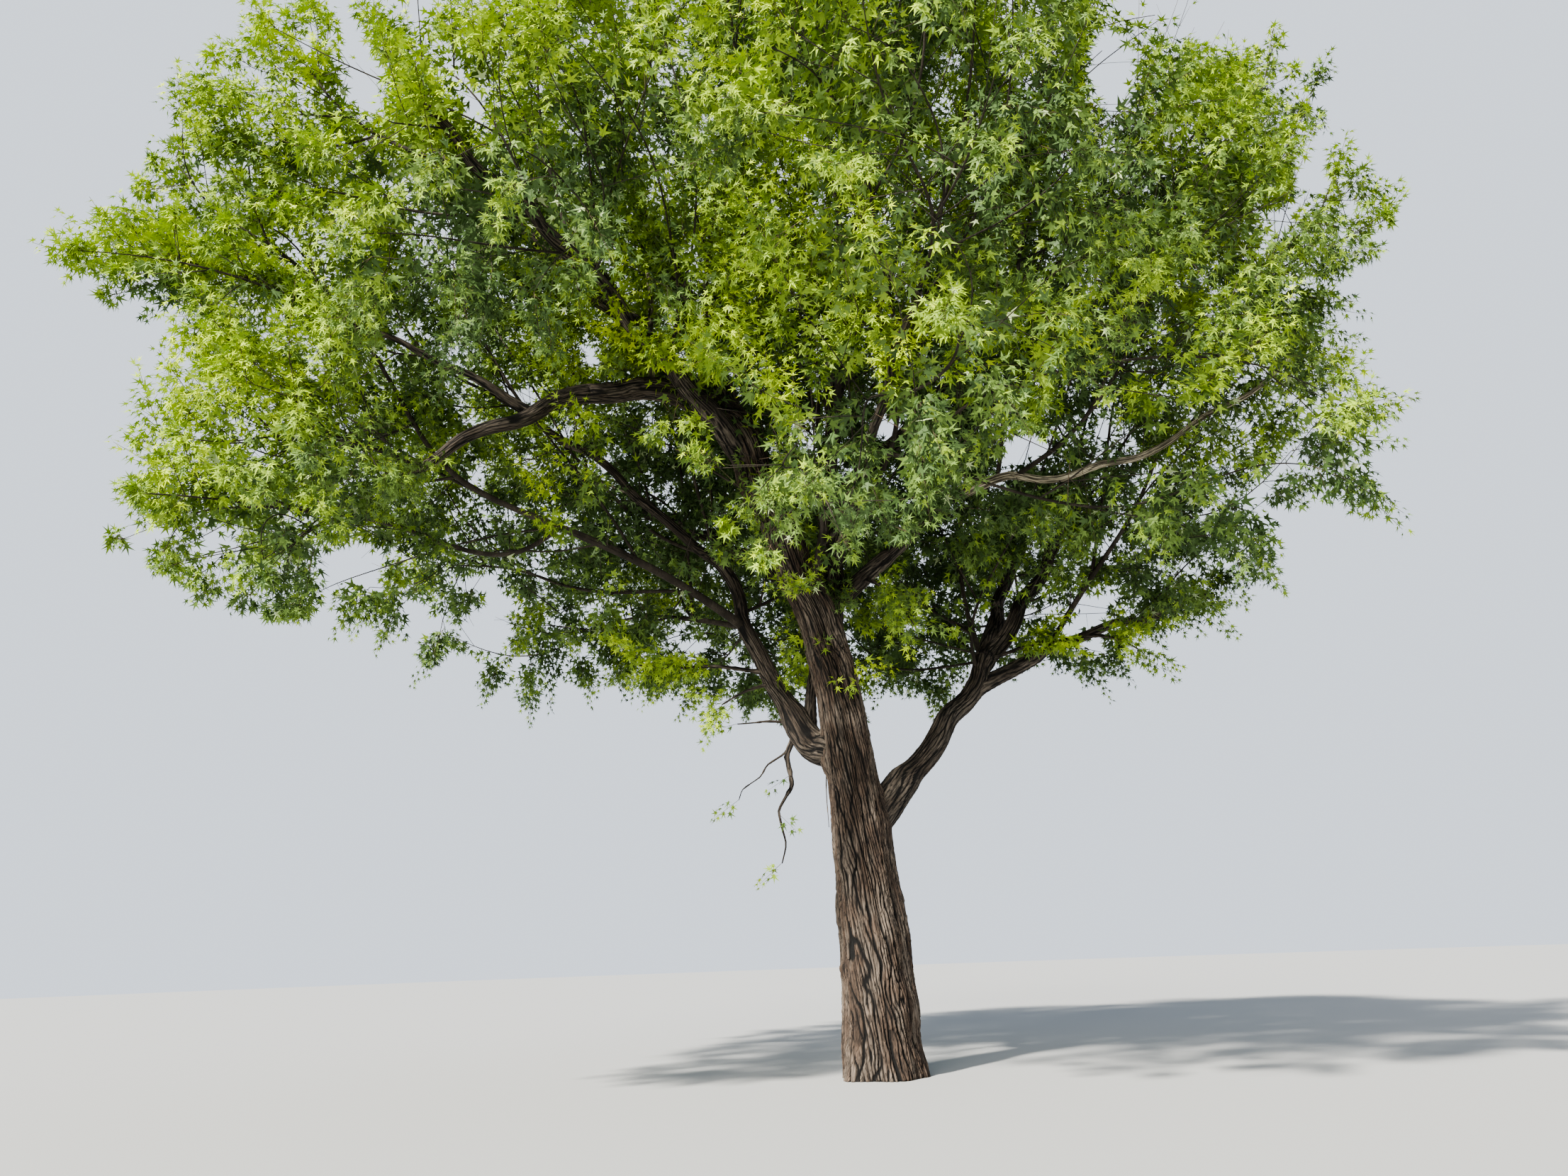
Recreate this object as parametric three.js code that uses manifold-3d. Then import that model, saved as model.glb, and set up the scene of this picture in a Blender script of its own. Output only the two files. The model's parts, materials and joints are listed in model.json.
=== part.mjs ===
// Silver maple, a whole tree in summer leaf: a leaning trunk, its boughs and the foliage masses they carry.
// Millimetres, +Z up, +X to the viewer's right, +Y away from the viewer. The origin is the middle of the
// flat cut at ground level. Bearings are in degrees, anticlockwise from +X, so 270 points at the viewer.

import * as THREE from 'three';
import { mergeVertices } from 'three/addons/utils/BufferGeometryUtils.js';
import Module from 'manifold-3d';

const wasm = await Module();
wasm.setup();

// The trunk runs from the ground to its fork, and its crotch closes just above that.
const FORK_HEIGHT = 5750;
const TRUNK_TOP = 6050;
const TRUNK_LEAN = 450;
const LEAN_POWER = 1.6;
const NECK_RADIUS = 300;
const BUTT_RADIUS = 480;
const TAPER_HEIGHT = 4000;
const TAPER_POWER = 1.5;
const FLARE_RADIUS = 60;
const FLARE_HEIGHT = 300;
const FLARE_LOBES = 5;
const LOBE_DEPTH = 0.09;
const TRUNK_SIDES = 16;
const TRUNK_RINGS = 10;
const RING_CROWDING = 1.4;

const LIMB_SIDES = 7;
const LIMB_RINGS = 5;

// The crown as a whole: it reaches further to the left and front than to the right and back.
const CROWN_REACH = 8100;
const CROWN_EXTRA = 1200;
const CROWN_LONG_BEARING = 205;

// How a mass strays from a smooth egg, and from the even spacing and size of its ring.
const MASS_DETAIL = 1;
const WAVE_PITCHES = [2.1, 3.3, 4.7, 6.1];
const WAVE_HEIGHT = 0.17;
const BEARING_STRAY = 0.24;
const HEIGHT_STRAY = 0.4;
const SIZE_STRAY = 0.16;

// Every cut between two solids leaves them this far apart.
const GAP = 0.4;
const MERGE_DISTANCE = 0.01;
const HALVINGS = 40;

// A limb leaves its parent at a share of the parent's length, runs out on its bearing by reach and up by
// rise, and its control point lies bow above the middle of its chord. Thick and thin are its end radii.
// The arch is two limbs, one before its bend and one after it.
// Columns: name, parent, at, bearing, reach, rise, bow, thick, thin.
const LIMBS = [
  ['main_stem', 'trunk', 0.93, 224, 1950, 3500, -150, 265, 225],
  ['arch_bough', 'main_stem', 0.93, 206, 2150, -200, 325, 190, 122],
  ['arch_bough_outer', 'arch_bough', 0.97, 206, 2200, -1550, 325, 122, 50],
  ['left_leader', 'main_stem', 0.9, 170, 1900, 5200, 500, 150, 75],
  ['upper_left_bough', 'main_stem', 0.8, 196, 4600, 4300, 300, 140, 60],
  ['front_left_bough', 'main_stem', 0.72, 232, 5600, 2500, 500, 130, 55],
  ['second_stem', 'trunk', 0.95, 60, 750, 6300, -200, 175, 90],
  ['right_leader', 'second_stem', 0.36, 2, 4700, 4600, 500, 125, 60],
  ['low_front_bough', 'second_stem', 0.12, 332, 2250, 1500, -120, 105, 62],
  ['pale_bough', 'low_front_bough', 0.96, 339, 4400, 900, -1000, 60, 28],
  ['front_bough', 'second_stem', 0.22, 280, 5300, 1500, 0, 95, 40],
  ['back_bough', 'second_stem', 0.3, 88, 5000, 3600, 450, 120, 55],
  ['back_left_bough', 'second_stem', 0.12, 132, 5500, 3300, 350, 125, 55],
  ['left_bough', 'trunk', 0.68, 154, 2050, 3450, -1250, 190, 80],
  ['left_bough_upper', 'left_bough', 0.97, 200, 3400, 2400, 80, 76, 45],
  ['right_bough', 'trunk', 0.5, 31, 5000, 6000, -650, 190, 65],
  ['back_right_bough', 'right_bough', 0.5, 62, 4300, 4300, 60, 120, 55],
  ['low_right_bough', 'right_bough', 0.42, 8, 4100, 1500, 350, 95, 45],
].map(([name, parent, at, bearing, reach, rise, bow, thick, thin]) => (
  { name, parent, at, bearing, reach, rise, bow, thick, thin }
));

// Rings of foliage masses. Places is how many fit round the whole ring and count how many are there. The
// ring lies at height, raised by tilt towards the bearing high. Out is the share of the crown's reach where
// a mass ends, and deep, wide and tall are its half sizes along the bearing, across it and upwards.
// Columns: name, places, count, first bearing, height, tilt, high, out, deep, wide, tall.
const RINGS = [
  ['skirt', 9, 8, 272, 7150, 500, 90, 0.95, 1950, 2450, 1550],
  ['middle', 9, 9, 356, 9350, 100, 205, 1.0, 2200, 2650, 1850],
  ['shoulder', 8, 8, 6, 11900, 350, 205, 0.9, 2350, 2600, 1950],
  ['upper', 5, 5, 40, 14600, 250, 205, 0.62, 2150, 2350, 1850],
  ['heart', 2, 2, 150, 11700, 0, 0, 0.4, 1700, 1900, 1600],
].map(([name, places, count, first, height, tilt, high, out, deep, wide, tall]) => (
  { name, places, count, first, height, tilt, high, out, deep, wide, tall }
));

// Single masses that give the outline its top, its plumes and its furthest tips.
// Columns: name, bearing, out, height, deep, wide, tall.
const PLUMES = [
  ['crown_top', 150, 0.25, 16500, 1950, 1950, 1700],
  ['left_tip', 214, 1.09, 8850, 1150, 650, 600],
  ['low_left_spray', 212, 1.02, 6650, 1500, 1700, 1450],
  ['left_plume', 208, 1.025, 10850, 1000, 1000, 1200],
  ['left_front_plume', 216, 0.95, 11400, 1000, 1000, 1200],
  ['right_spire', 345, 0.99, 13100, 800, 800, 1500],
  ['right_plume', 336, 0.86, 12350, 800, 800, 1300],
  ['right_tip', 331, 1.04, 10100, 1000, 850, 950],
  ['front_spray', 262, 0.72, 5900, 1000, 1100, 850],
].map(([name, bearing, out, height, deep, wide, tall]) => (
  { name, bearing, out, height, deep, wide, tall }
));

const radians = THREE.MathUtils.degToRad;

/** Repeatable numbers from 0 to 1, a separate run for each seed. */
function seededNumbers(seed) {
  const modulus = 4294967296;
  let state = (seed * 2654435761) % modulus;
  return () => {
    state = (state * 1664525 + 1013904223) % modulus;
    return state / modulus;
  };
}

function bearingVector(bearing) {
  return new THREE.Vector3(Math.cos(radians(bearing)), Math.sin(radians(bearing)), 0);
}

/** How far the crown reaches from the trunk on a bearing. */
function crownReach(bearing) {
  return CROWN_REACH + CROWN_EXTRA * Math.cos(radians(bearing - CROWN_LONG_BEARING));
}

/** Middle of the trunk at a height: the lean grows with the height. */
function trunkCentre(height) {
  const lean = TRUNK_LEAN * Math.pow(height / FORK_HEIGHT, LEAN_POWER);
  return new THREE.Vector3(-lean, 0, height);
}

/** Radius of the trunk at a height and angle: a slow taper, and a flare with root lobes at the foot. */
function trunkRadius(height, angle) {
  const taper = Math.max(0, 1 - Math.pow(height / TAPER_HEIGHT, TAPER_POWER));
  const flare = Math.exp(-height / FLARE_HEIGHT);
  const lobes = 1 + LOBE_DEPTH * flare * Math.cos(FLARE_LOBES * angle);
  return (NECK_RADIUS + (BUTT_RADIUS - NECK_RADIUS) * taper + FLARE_RADIUS * flare) * lobes;
}

/** A closed cylinder with each vertex moved to place(share of length, angle, share of radius). */
function shapedCylinder(sides, rings, place) {
  const geometry = new THREE.CylinderGeometry(1, 1, 1, sides, rings);
  const position = geometry.attributes.position;
  for (let i = 0; i < position.count; i += 1) {
    const share = position.getY(i) + 0.5;
    const angle = Math.atan2(-position.getZ(i), position.getX(i));
    const fromAxis = Math.hypot(position.getX(i), position.getZ(i));
    const point = place(share, angle, fromAxis);
    position.setXYZ(i, point.x, point.y, point.z);
  }
  return geometry;
}

/** The trunk, grown on all sides by grow, with its rings closer together near the ground. */
function trunkGeometry(grow) {
  return shapedCylinder(TRUNK_SIDES, TRUNK_RINGS, (share, angle, fromAxis) => {
    const height = TRUNK_TOP * Math.pow(share, RING_CROWDING);
    const radius = (trunkRadius(height, angle) + grow) * fromAxis;
    const point = trunkCentre(height);
    point.x += radius * Math.cos(angle);
    point.y += radius * Math.sin(angle);
    point.z += grow * (2 * share - 1);
    return point;
  });
}

/** A limb's middle line, which stays in the upright plane of its bearing. */
function limbCurve(limb, start) {
  const end = start.clone().addScaledVector(bearingVector(limb.bearing), limb.reach);
  end.z += limb.rise;
  const control = start.clone().lerp(end, 0.5);
  control.z += limb.bow;
  return new THREE.QuadraticBezierCurve3(start, control, end);
}

/** A round limb, grown on all sides by grow, that tapers from thick to thin along its curve. */
function limbGeometry(limb, grow) {
  const across = bearingVector(limb.bearing + 90);
  return shapedCylinder(LIMB_SIDES, LIMB_RINGS, (share, angle, fromAxis) => {
    const along = limb.curve.getTangent(share);
    const over = along.clone().cross(across);
    const radius = (THREE.MathUtils.lerp(limb.thick, limb.thin, share) + grow) * fromAxis;
    const point = limb.curve.getPoint(share);
    point.addScaledVector(across, radius * Math.cos(angle));
    point.addScaledVector(over, radius * Math.sin(angle));
    point.addScaledVector(along, grow * (2 * share - 1));
    return point;
  });
}

/** Size of a mass in a direction, about 1: a few slow waves, each with its own seeded way and phase. */
function unevenness(seed) {
  const next = seededNumbers(seed);
  const waves = WAVE_PITCHES.map((pitch) => ({
    way: new THREE.Vector3(next() - 0.5, next() - 0.5, next() - 0.5).normalize(),
    pitch,
    phase: next() * Math.PI * 2,
  }));
  return (direction) => waves.reduce((size, wave) => {
    const swing = Math.sin(wave.pitch * direction.dot(wave.way) + wave.phase);
    return size + (WAVE_HEIGHT / Math.sqrt(wave.pitch)) * swing;
  }, 1);
}

/** One closed, uneven mass of foliage, grown on all sides by grow and turned to its bearing. */
function massGeometry(mass, grow) {
  const geometry = new THREE.IcosahedronGeometry(1, MASS_DETAIL);
  const uneven = unevenness(mass.seed);
  const out = bearingVector(mass.bearing);
  const across = bearingVector(mass.bearing + 90);
  const position = geometry.attributes.position;
  const direction = new THREE.Vector3();
  for (let i = 0; i < position.count; i += 1) {
    direction.fromBufferAttribute(position, i).normalize();
    const size = uneven(direction);
    const point = mass.centre.clone();
    point.addScaledVector(out, direction.x * (mass.deep * size + grow));
    point.addScaledVector(across, direction.y * (mass.wide * size + grow));
    point.z += direction.z * (mass.tall * size + grow);
    position.setXYZ(i, point.x, point.y, point.z);
  }
  return geometry;
}

/** A point's distance from a mass's middle in half sizes, squared, with the way in which that grows. */
function eggValue(mass, point) {
  const offset = point.clone().sub(mass.centre);
  const axes = [
    [bearingVector(mass.bearing), mass.deep],
    [bearingVector(mass.bearing + 90), mass.wide],
    [new THREE.Vector3(0, 0, 1), mass.tall],
  ];
  const grows = new THREE.Vector3();
  let value = 0;
  for (const [axis, half] of axes) {
    const share = offset.dot(axis) / half;
    value += share * share;
    grows.addScaledVector(axis, share / half);
  }
  return { value, grows };
}

/** The plane between two masses that overlap: where both are equally near in half sizes. */
function dividingPlane(first, second) {
  let near = 0;
  let far = 1;
  const point = new THREE.Vector3();
  for (let i = 0; i < HALVINGS; i += 1) {
    const middle = (near + far) / 2;
    point.lerpVectors(first.centre, second.centre, middle);
    if (eggValue(first, point).value < eggValue(second, point).value) near = middle;
    else far = middle;
  }
  const normal = eggValue(first, point).grows.sub(eggValue(second, point).grows).normalize();
  return { normal, offset: normal.dot(point) };
}

/** The half of a solid behind a plane, up to short of it by back. */
function behindPlane(solid, { normal, offset }, back) {
  return solid.trimByPlane([-normal.x, -normal.y, -normal.z], back - offset);
}

/** A solid for cutting from a closed three.js geometry, with its shared vertices merged. */
function toSolid(geometry) {
  geometry.deleteAttribute('normal');
  geometry.deleteAttribute('uv');
  const merged = mergeVertices(geometry, MERGE_DISTANCE);
  const vertProperties = new Float32Array(merged.attributes.position.array);
  const triVerts = new Uint32Array(merged.index.array);
  return new wasm.Manifold(new wasm.Mesh({ numProp: 3, vertProperties, triVerts }));
}

/** The largest whole piece that a cut leaves, so that no chip is left hanging. */
function largestPiece(solid) {
  return solid.decompose().reduce((best, piece) => (piece.volume() > best.volume() ? piece : best));
}

function cutAway(solid, tools) {
  return largestPiece(tools.reduce((rest, tool) => rest.subtract(tool), solid));
}

function toMesh(name, solid, material) {
  const { vertProperties, triVerts } = solid.getMesh();
  const geometry = new THREE.BufferGeometry();
  geometry.setAttribute('position', new THREE.BufferAttribute(new Float32Array(vertProperties), 3));
  geometry.setIndex(new THREE.BufferAttribute(new Uint32Array(triVerts), 1));
  geometry.computeVertexNormals();
  const mesh = new THREE.Mesh(geometry, material);
  mesh.name = name;
  return mesh;
}

/** The limbs with their curves. A parent stands before its children in the table. */
function placedLimbs() {
  const placed = new Map();
  for (const limb of LIMBS) {
    const parent = placed.get(limb.parent);
    const start = parent ? parent.curve.getPoint(limb.at) : trunkCentre(limb.at * TRUNK_TOP);
    placed.set(limb.name, { ...limb, curve: limbCurve(limb, start) });
  }
  return [...placed.values()];
}

/** The masses of a ring, each strayed a little in bearing, height and size. */
function ringMasses(ring) {
  return Array.from({ length: ring.count }, (_, k) => {
    const next = seededNumbers(ring.first + ring.height + k);
    const stray = (share) => share * (next() - 0.5);
    const bearing = ring.first + (360 / ring.places) * (k + stray(BEARING_STRAY));
    const lift = ring.tilt * Math.cos(radians(bearing - ring.high));
    return {
      ...ring,
      name: `${ring.name}_${k + 1}`,
      bearing,
      height: ring.height + lift + stray(HEIGHT_STRAY) * ring.tall,
      deep: ring.deep * (1 + stray(SIZE_STRAY)),
      wide: ring.wide * (1 + stray(SIZE_STRAY)),
    };
  });
}

/** Every mass, with its middle and a seed of its own. */
function placedMasses() {
  return [...PLUMES, ...RINGS.flatMap(ringMasses)].map((mass, index) => {
    const fromTrunk = mass.out * crownReach(mass.bearing) - mass.deep;
    const centre = bearingVector(mass.bearing).multiplyScalar(fromTrunk);
    centre.z = mass.height;
    return { ...mass, centre, seed: index + 1 };
  });
}

const trunkBark = new THREE.MeshStandardMaterial({ color: 0x6f6353, roughness: 0.95, metalness: 0 });
const limbBark = new THREE.MeshStandardMaterial({ color: 0x807a70, roughness: 0.9, metalness: 0 });
const foliage = new THREE.MeshStandardMaterial({ color: 0x6f9a2c, roughness: 0.75, metalness: 0 });

const limbs = placedLimbs();
const masses = placedMasses();
const eggs = masses.map((mass) => toSolid(massGeometry(mass, 0)));
const planes = masses.map((mass, i) => masses.flatMap((other, j) => (
  i === j || eggs[i].intersect(eggs[j]).isEmpty() ? [] : [dividingPlane(mass, other)]
)));

/** A mass grown on all sides, the flat ones towards its neighbours too. */
function dividedMass(mass, index, grow) {
  const back = GAP / 2 - grow;
  return planes[index].reduce(
    (solid, plane) => behindPlane(solid, plane, back),
    toSolid(massGeometry(mass, grow)),
  );
}

const grownMasses = masses.map((mass, index) => dividedMass(mass, index, GAP));
const grownWood = [toSolid(trunkGeometry(GAP))];

const group = new THREE.Group();
group.add(toMesh('trunk', toSolid(trunkGeometry(0)), trunkBark));

// A limb is cut by the wood it grows from, and ends where it enters a mass.
for (const limb of limbs) {
  const piece = cutAway(toSolid(limbGeometry(limb, 0)), [...grownWood, ...grownMasses]);
  group.add(toMesh(limb.name, piece, limbBark));
  grownWood.push(toSolid(limbGeometry(limb, GAP)));
}

// Neighbouring masses meet at flat faces, so that each one bulges outwards all round.
masses.forEach((mass, index) => {
  group.add(toMesh(mass.name, largestPiece(dividedMass(mass, index, 0)), foliage));
});

export default group;
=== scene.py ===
# %% [markdown]
# A silver maple in summer leaf, built up the way it grows. A short trunk leans a little and forks, boughs
# spread from it, branches and twigs grow on from the boughs, and every twig carries pairs of deeply lobed
# leaves. The trunk and the boughs follow the sizes of the model that is loaded here, and the leaves fill
# the space that its foliage masses hold. Everything is in metres, +Z up, with the origin at the foot.

# %% The frame and the tools
import json
import math

import bpy
import numpy as np
from mathutils import Matrix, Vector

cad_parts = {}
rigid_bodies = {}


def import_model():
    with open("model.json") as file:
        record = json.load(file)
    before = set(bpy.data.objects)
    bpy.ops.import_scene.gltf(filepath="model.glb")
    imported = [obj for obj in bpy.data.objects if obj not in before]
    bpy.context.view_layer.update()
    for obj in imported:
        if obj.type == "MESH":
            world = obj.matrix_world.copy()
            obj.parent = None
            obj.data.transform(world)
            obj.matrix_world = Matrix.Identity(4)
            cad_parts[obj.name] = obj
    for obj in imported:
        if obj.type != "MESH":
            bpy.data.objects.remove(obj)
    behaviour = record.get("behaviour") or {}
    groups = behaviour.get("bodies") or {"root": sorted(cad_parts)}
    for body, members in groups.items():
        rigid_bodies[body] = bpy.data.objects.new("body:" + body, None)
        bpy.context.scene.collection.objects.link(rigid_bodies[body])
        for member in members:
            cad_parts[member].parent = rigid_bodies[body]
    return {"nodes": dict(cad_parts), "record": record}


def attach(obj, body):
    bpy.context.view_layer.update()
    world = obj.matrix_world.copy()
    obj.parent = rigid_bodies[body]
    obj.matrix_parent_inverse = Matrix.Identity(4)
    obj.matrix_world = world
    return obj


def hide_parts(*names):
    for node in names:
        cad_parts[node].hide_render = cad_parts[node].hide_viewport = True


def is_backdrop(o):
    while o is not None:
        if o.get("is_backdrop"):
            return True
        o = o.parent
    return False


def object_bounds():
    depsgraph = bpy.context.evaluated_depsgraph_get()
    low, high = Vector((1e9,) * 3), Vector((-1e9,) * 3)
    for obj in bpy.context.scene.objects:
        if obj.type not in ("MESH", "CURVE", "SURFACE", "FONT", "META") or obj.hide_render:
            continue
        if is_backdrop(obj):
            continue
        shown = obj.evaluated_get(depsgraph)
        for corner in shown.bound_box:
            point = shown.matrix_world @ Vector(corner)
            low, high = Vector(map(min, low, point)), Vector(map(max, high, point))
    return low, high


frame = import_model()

UP = np.array([0.0, 0.0, 1.0])
cad_low, cad_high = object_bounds()
masses = sorted(m["node"] for m in frame["record"]["subparts"] if m["material_slot"] == "foliage")
print("model from", tuple(cad_low), "to", tuple(cad_high), "with", len(masses), "foliage masses")

# %% [markdown]
# The camera stands where the picture was taken: sixteen metres in front of the trunk, at eye height, and
# tilted up and a little to one side. A lens is given in millimetres for a sensor 36 mm wide, so a focal
# length that was measured in pixels of a picture 2212 wide is scaled by 36 / 2212. The three axes of the
# camera are worked out as vectors and put into its matrix, and the same vectors tell later where a point
# of the crown falls in the picture.

# %% Camera
PICTURE_WIDTH = 2212
PICTURE_HEIGHT = 1659
FOCAL_PIXELS = 1662.0
SENSOR_WIDTH = 36.0
FURTHEST_SEEN = 400.0
EYE = np.array([-1.06, -16.17, 1.5])
LOOK_UP = math.radians(17.4)
ROLL = math.radians(2.0)

ahead = np.array([0.0, math.cos(LOOK_UP), math.sin(LOOK_UP)])
level_right = np.array([1.0, 0.0, 0.0])
level_top = np.array([0.0, -math.sin(LOOK_UP), math.cos(LOOK_UP)])
eye_right = level_right * math.cos(ROLL) - level_top * math.sin(ROLL)
eye_top = level_right * math.sin(ROLL) + level_top * math.cos(ROLL)

camera_data = bpy.data.cameras.new("camera")
camera_data.sensor_width = SENSOR_WIDTH
camera_data.lens = FOCAL_PIXELS / PICTURE_WIDTH * SENSOR_WIDTH
camera_data.clip_end = FURTHEST_SEEN
camera = bpy.data.objects.new("camera", camera_data)
bpy.context.scene.collection.objects.link(camera)
camera_axes = np.eye(4)
camera_axes[:3, 0] = eye_right
camera_axes[:3, 1] = eye_top
camera_axes[:3, 2] = -ahead
camera_axes[:3, 3] = EYE
camera.matrix_world = Matrix(camera_axes.tolist())
bpy.context.scene.camera = camera


def picture_place(points):
    """Pixel across, pixel down and distance ahead: the offsets along the camera's axes over the distance."""
    offset = points - EYE
    distance = offset @ ahead
    across = PICTURE_WIDTH / 2 + FOCAL_PIXELS * (offset @ eye_right) / distance
    down = PICTURE_HEIGHT / 2 - FOCAL_PIXELS * (offset @ eye_top) / distance
    return across, down, distance


print("lens", round(camera_data.lens, 2), "mm")

# %% [markdown]
# Meshes are made from whole arrays. `foreach_set` copies an array straight into Blender's own storage, which
# takes milliseconds where a loop over vertices would take minutes. Faces are given as rows of vertex
# numbers, and rows of different lengths are put one after the other.

# %% Meshes from arrays
def make_piece(name, points, face_sets, materials, nodes=()):
    """A piece from points and sets of faces. A set is (rows of vertex numbers, material number or row of
    numbers, smooth or not). The piece rides on the tree and stands for the named nodes."""
    mesh = bpy.data.meshes.new(name)
    corners = np.concatenate([rows.ravel() for rows, _, _ in face_sets])
    lengths = np.concatenate([np.full(len(rows), rows.shape[1]) for rows, _, _ in face_sets])
    finish = np.concatenate([np.broadcast_to(m, len(rows)) for rows, m, _ in face_sets])
    rounded = np.concatenate([np.full(len(rows), s) for rows, _, s in face_sets])
    mesh.vertices.add(len(points))
    mesh.vertices.foreach_set("co", points.astype(np.float32).ravel())
    mesh.loops.add(len(corners))
    mesh.loops.foreach_set("vertex_index", corners.astype(np.int32))
    mesh.polygons.add(len(lengths))
    starts = np.concatenate([[0], np.cumsum(lengths)[:-1]])
    mesh.polygons.foreach_set("loop_start", starts.astype(np.int32))
    mesh.polygons.foreach_set("material_index", finish.astype(np.int32))
    mesh.polygons.foreach_set("use_smooth", rounded.astype(bool))
    for material in materials:
        mesh.materials.append(material)
    mesh.update(calc_edges=True)
    piece = bpy.data.objects.new(name, mesh)
    bpy.context.scene.collection.objects.link(piece)
    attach(piece, "root")
    if nodes:
        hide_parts(*nodes)
    triangles = int((lengths - 2).sum())
    print(name, triangles, "triangles")
    return piece, triangles


print("every piece prints its name and its number of triangles when it is made")

# %% [markdown]
# Twigs, branches and boughs are all tubes: rings of points round a middle line, joined by faces. A ring needs
# two vectors square to the line. If they were chosen anew at every ring the tube would twist, so one of them
# is carried along from ring to ring and only made square again.

# %% Tubes
def unit(vectors):
    """Each vector divided by its own length."""
    return vectors / np.maximum(np.linalg.norm(vectors, axis=-1, keepdims=True), 1e-9)


def dot(a, b):
    """The sum of the products along the last axis, kept as a column."""
    return (a * b).sum(axis=-1, keepdims=True)


def ring_axes(paths):
    """Tangent, side and over vectors at each point of many paths. The side vector is carried from ring to
    ring and made square to the tangent each time: side less its share along the tangent."""
    tangents = np.gradient(paths, axis=1)
    tangents = unit(tangents)
    side = np.cross(tangents[:, 0], np.where(np.abs(tangents[:, 0, 2:]) > 0.9, [[0.0, 1.0, 0.0]], UP))
    side = unit(side)
    sides = np.empty_like(paths)
    for ring in range(paths.shape[1]):
        side = unit(side - dot(side, tangents[:, ring]) * tangents[:, ring])
        sides[:, ring] = side
    return tangents, sides, np.cross(tangents, sides)


def tube_faces(tubes, rings, sides):
    """Quads round every tube, and one many-sided face that closes each end, all facing out."""
    start = np.arange(tubes)[:, None, None] * rings * sides
    ring = np.arange(rings - 1)[None, :, None] * sides
    step = np.arange(sides)[None, None, :]
    near = start + ring + step
    near_next = start + ring + (step + 1) % sides
    quads = np.stack([near, near_next, near_next + sides, near + sides], axis=-1).reshape(-1, 4)
    foot = start[:, 0] + np.arange(sides)[None, ::-1]
    tip = start[:, 0] + (rings - 1) * sides + np.arange(sides)[None, :]
    return quads, np.concatenate([foot, tip])


def tube_points(paths, radii, sides):
    """Centre + radius * (cos(angle) * side + sin(angle) * over), for every ring of every tube."""
    _, side, over = ring_axes(paths)
    angle = np.arange(sides) * 2 * math.pi / sides
    across = np.cos(angle)[:, None] * side[:, :, None, :] + np.sin(angle)[:, None] * over[:, :, None, :]
    return (paths[:, :, None, :] + radii[:, :, None, None] * across).reshape(-1, 3)


quads, caps = tube_faces(1, 3, 6)
print("a tube of 3 rings with 6 corners has", len(quads), "side faces and", len(caps), "ends")

# %% [markdown]
# The trunk. It is thick and short, leans to the left more and more with its height, flares out at the foot
# where the roots begin, and keeps an even thickness through the neck below its fork. Each of these is one
# term in a formula for its middle line or its radius.

# %% The trunk's middle line and radius
FORK_HEIGHT = 5.75
TRUNK_LEAN = 0.45
LEAN_POWER = 1.6
NECK_RADIUS = 0.30
BUTT_RADIUS = 0.48
TAPER_HEIGHT = 4.0
TAPER_POWER = 1.5
FLARE_RADIUS = 0.06
FLARE_HEIGHT = 0.30


def trunk_centre(height):
    """The lean to the left: TRUNK_LEAN * (height over the fork's height) to the LEAN_POWER."""
    height = np.asarray(height, float)
    lean = TRUNK_LEAN * (height / FORK_HEIGHT) ** LEAN_POWER
    return np.stack([-lean, 0 * height, height], axis=-1)


def trunk_radius(height):
    """The neck's radius, plus a taper that ends at TAPER_HEIGHT, plus a flare that dies away upwards."""
    taper = np.clip(1 - (height / TAPER_HEIGHT) ** TAPER_POWER, 0, None)
    return NECK_RADIUS + (BUTT_RADIUS - NECK_RADIUS) * taper + FLARE_RADIUS * np.exp(-height / FLARE_HEIGHT)


print("trunk", round(2 * float(trunk_radius(1.4)), 2), "m thick at breast height")

# %% [markdown]
# The boughs. Each limb leaves its parent at a share of the parent's length and runs out on a bearing, up by
# a rise, with its control point raised by a bow: a curve with one bend, the same as in the model. Limbs that
# carry straight on from one another are joined into one line later, so that the bark runs through without a
# step. Some smaller branches that catch the eye are added here by the same rule.

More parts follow.
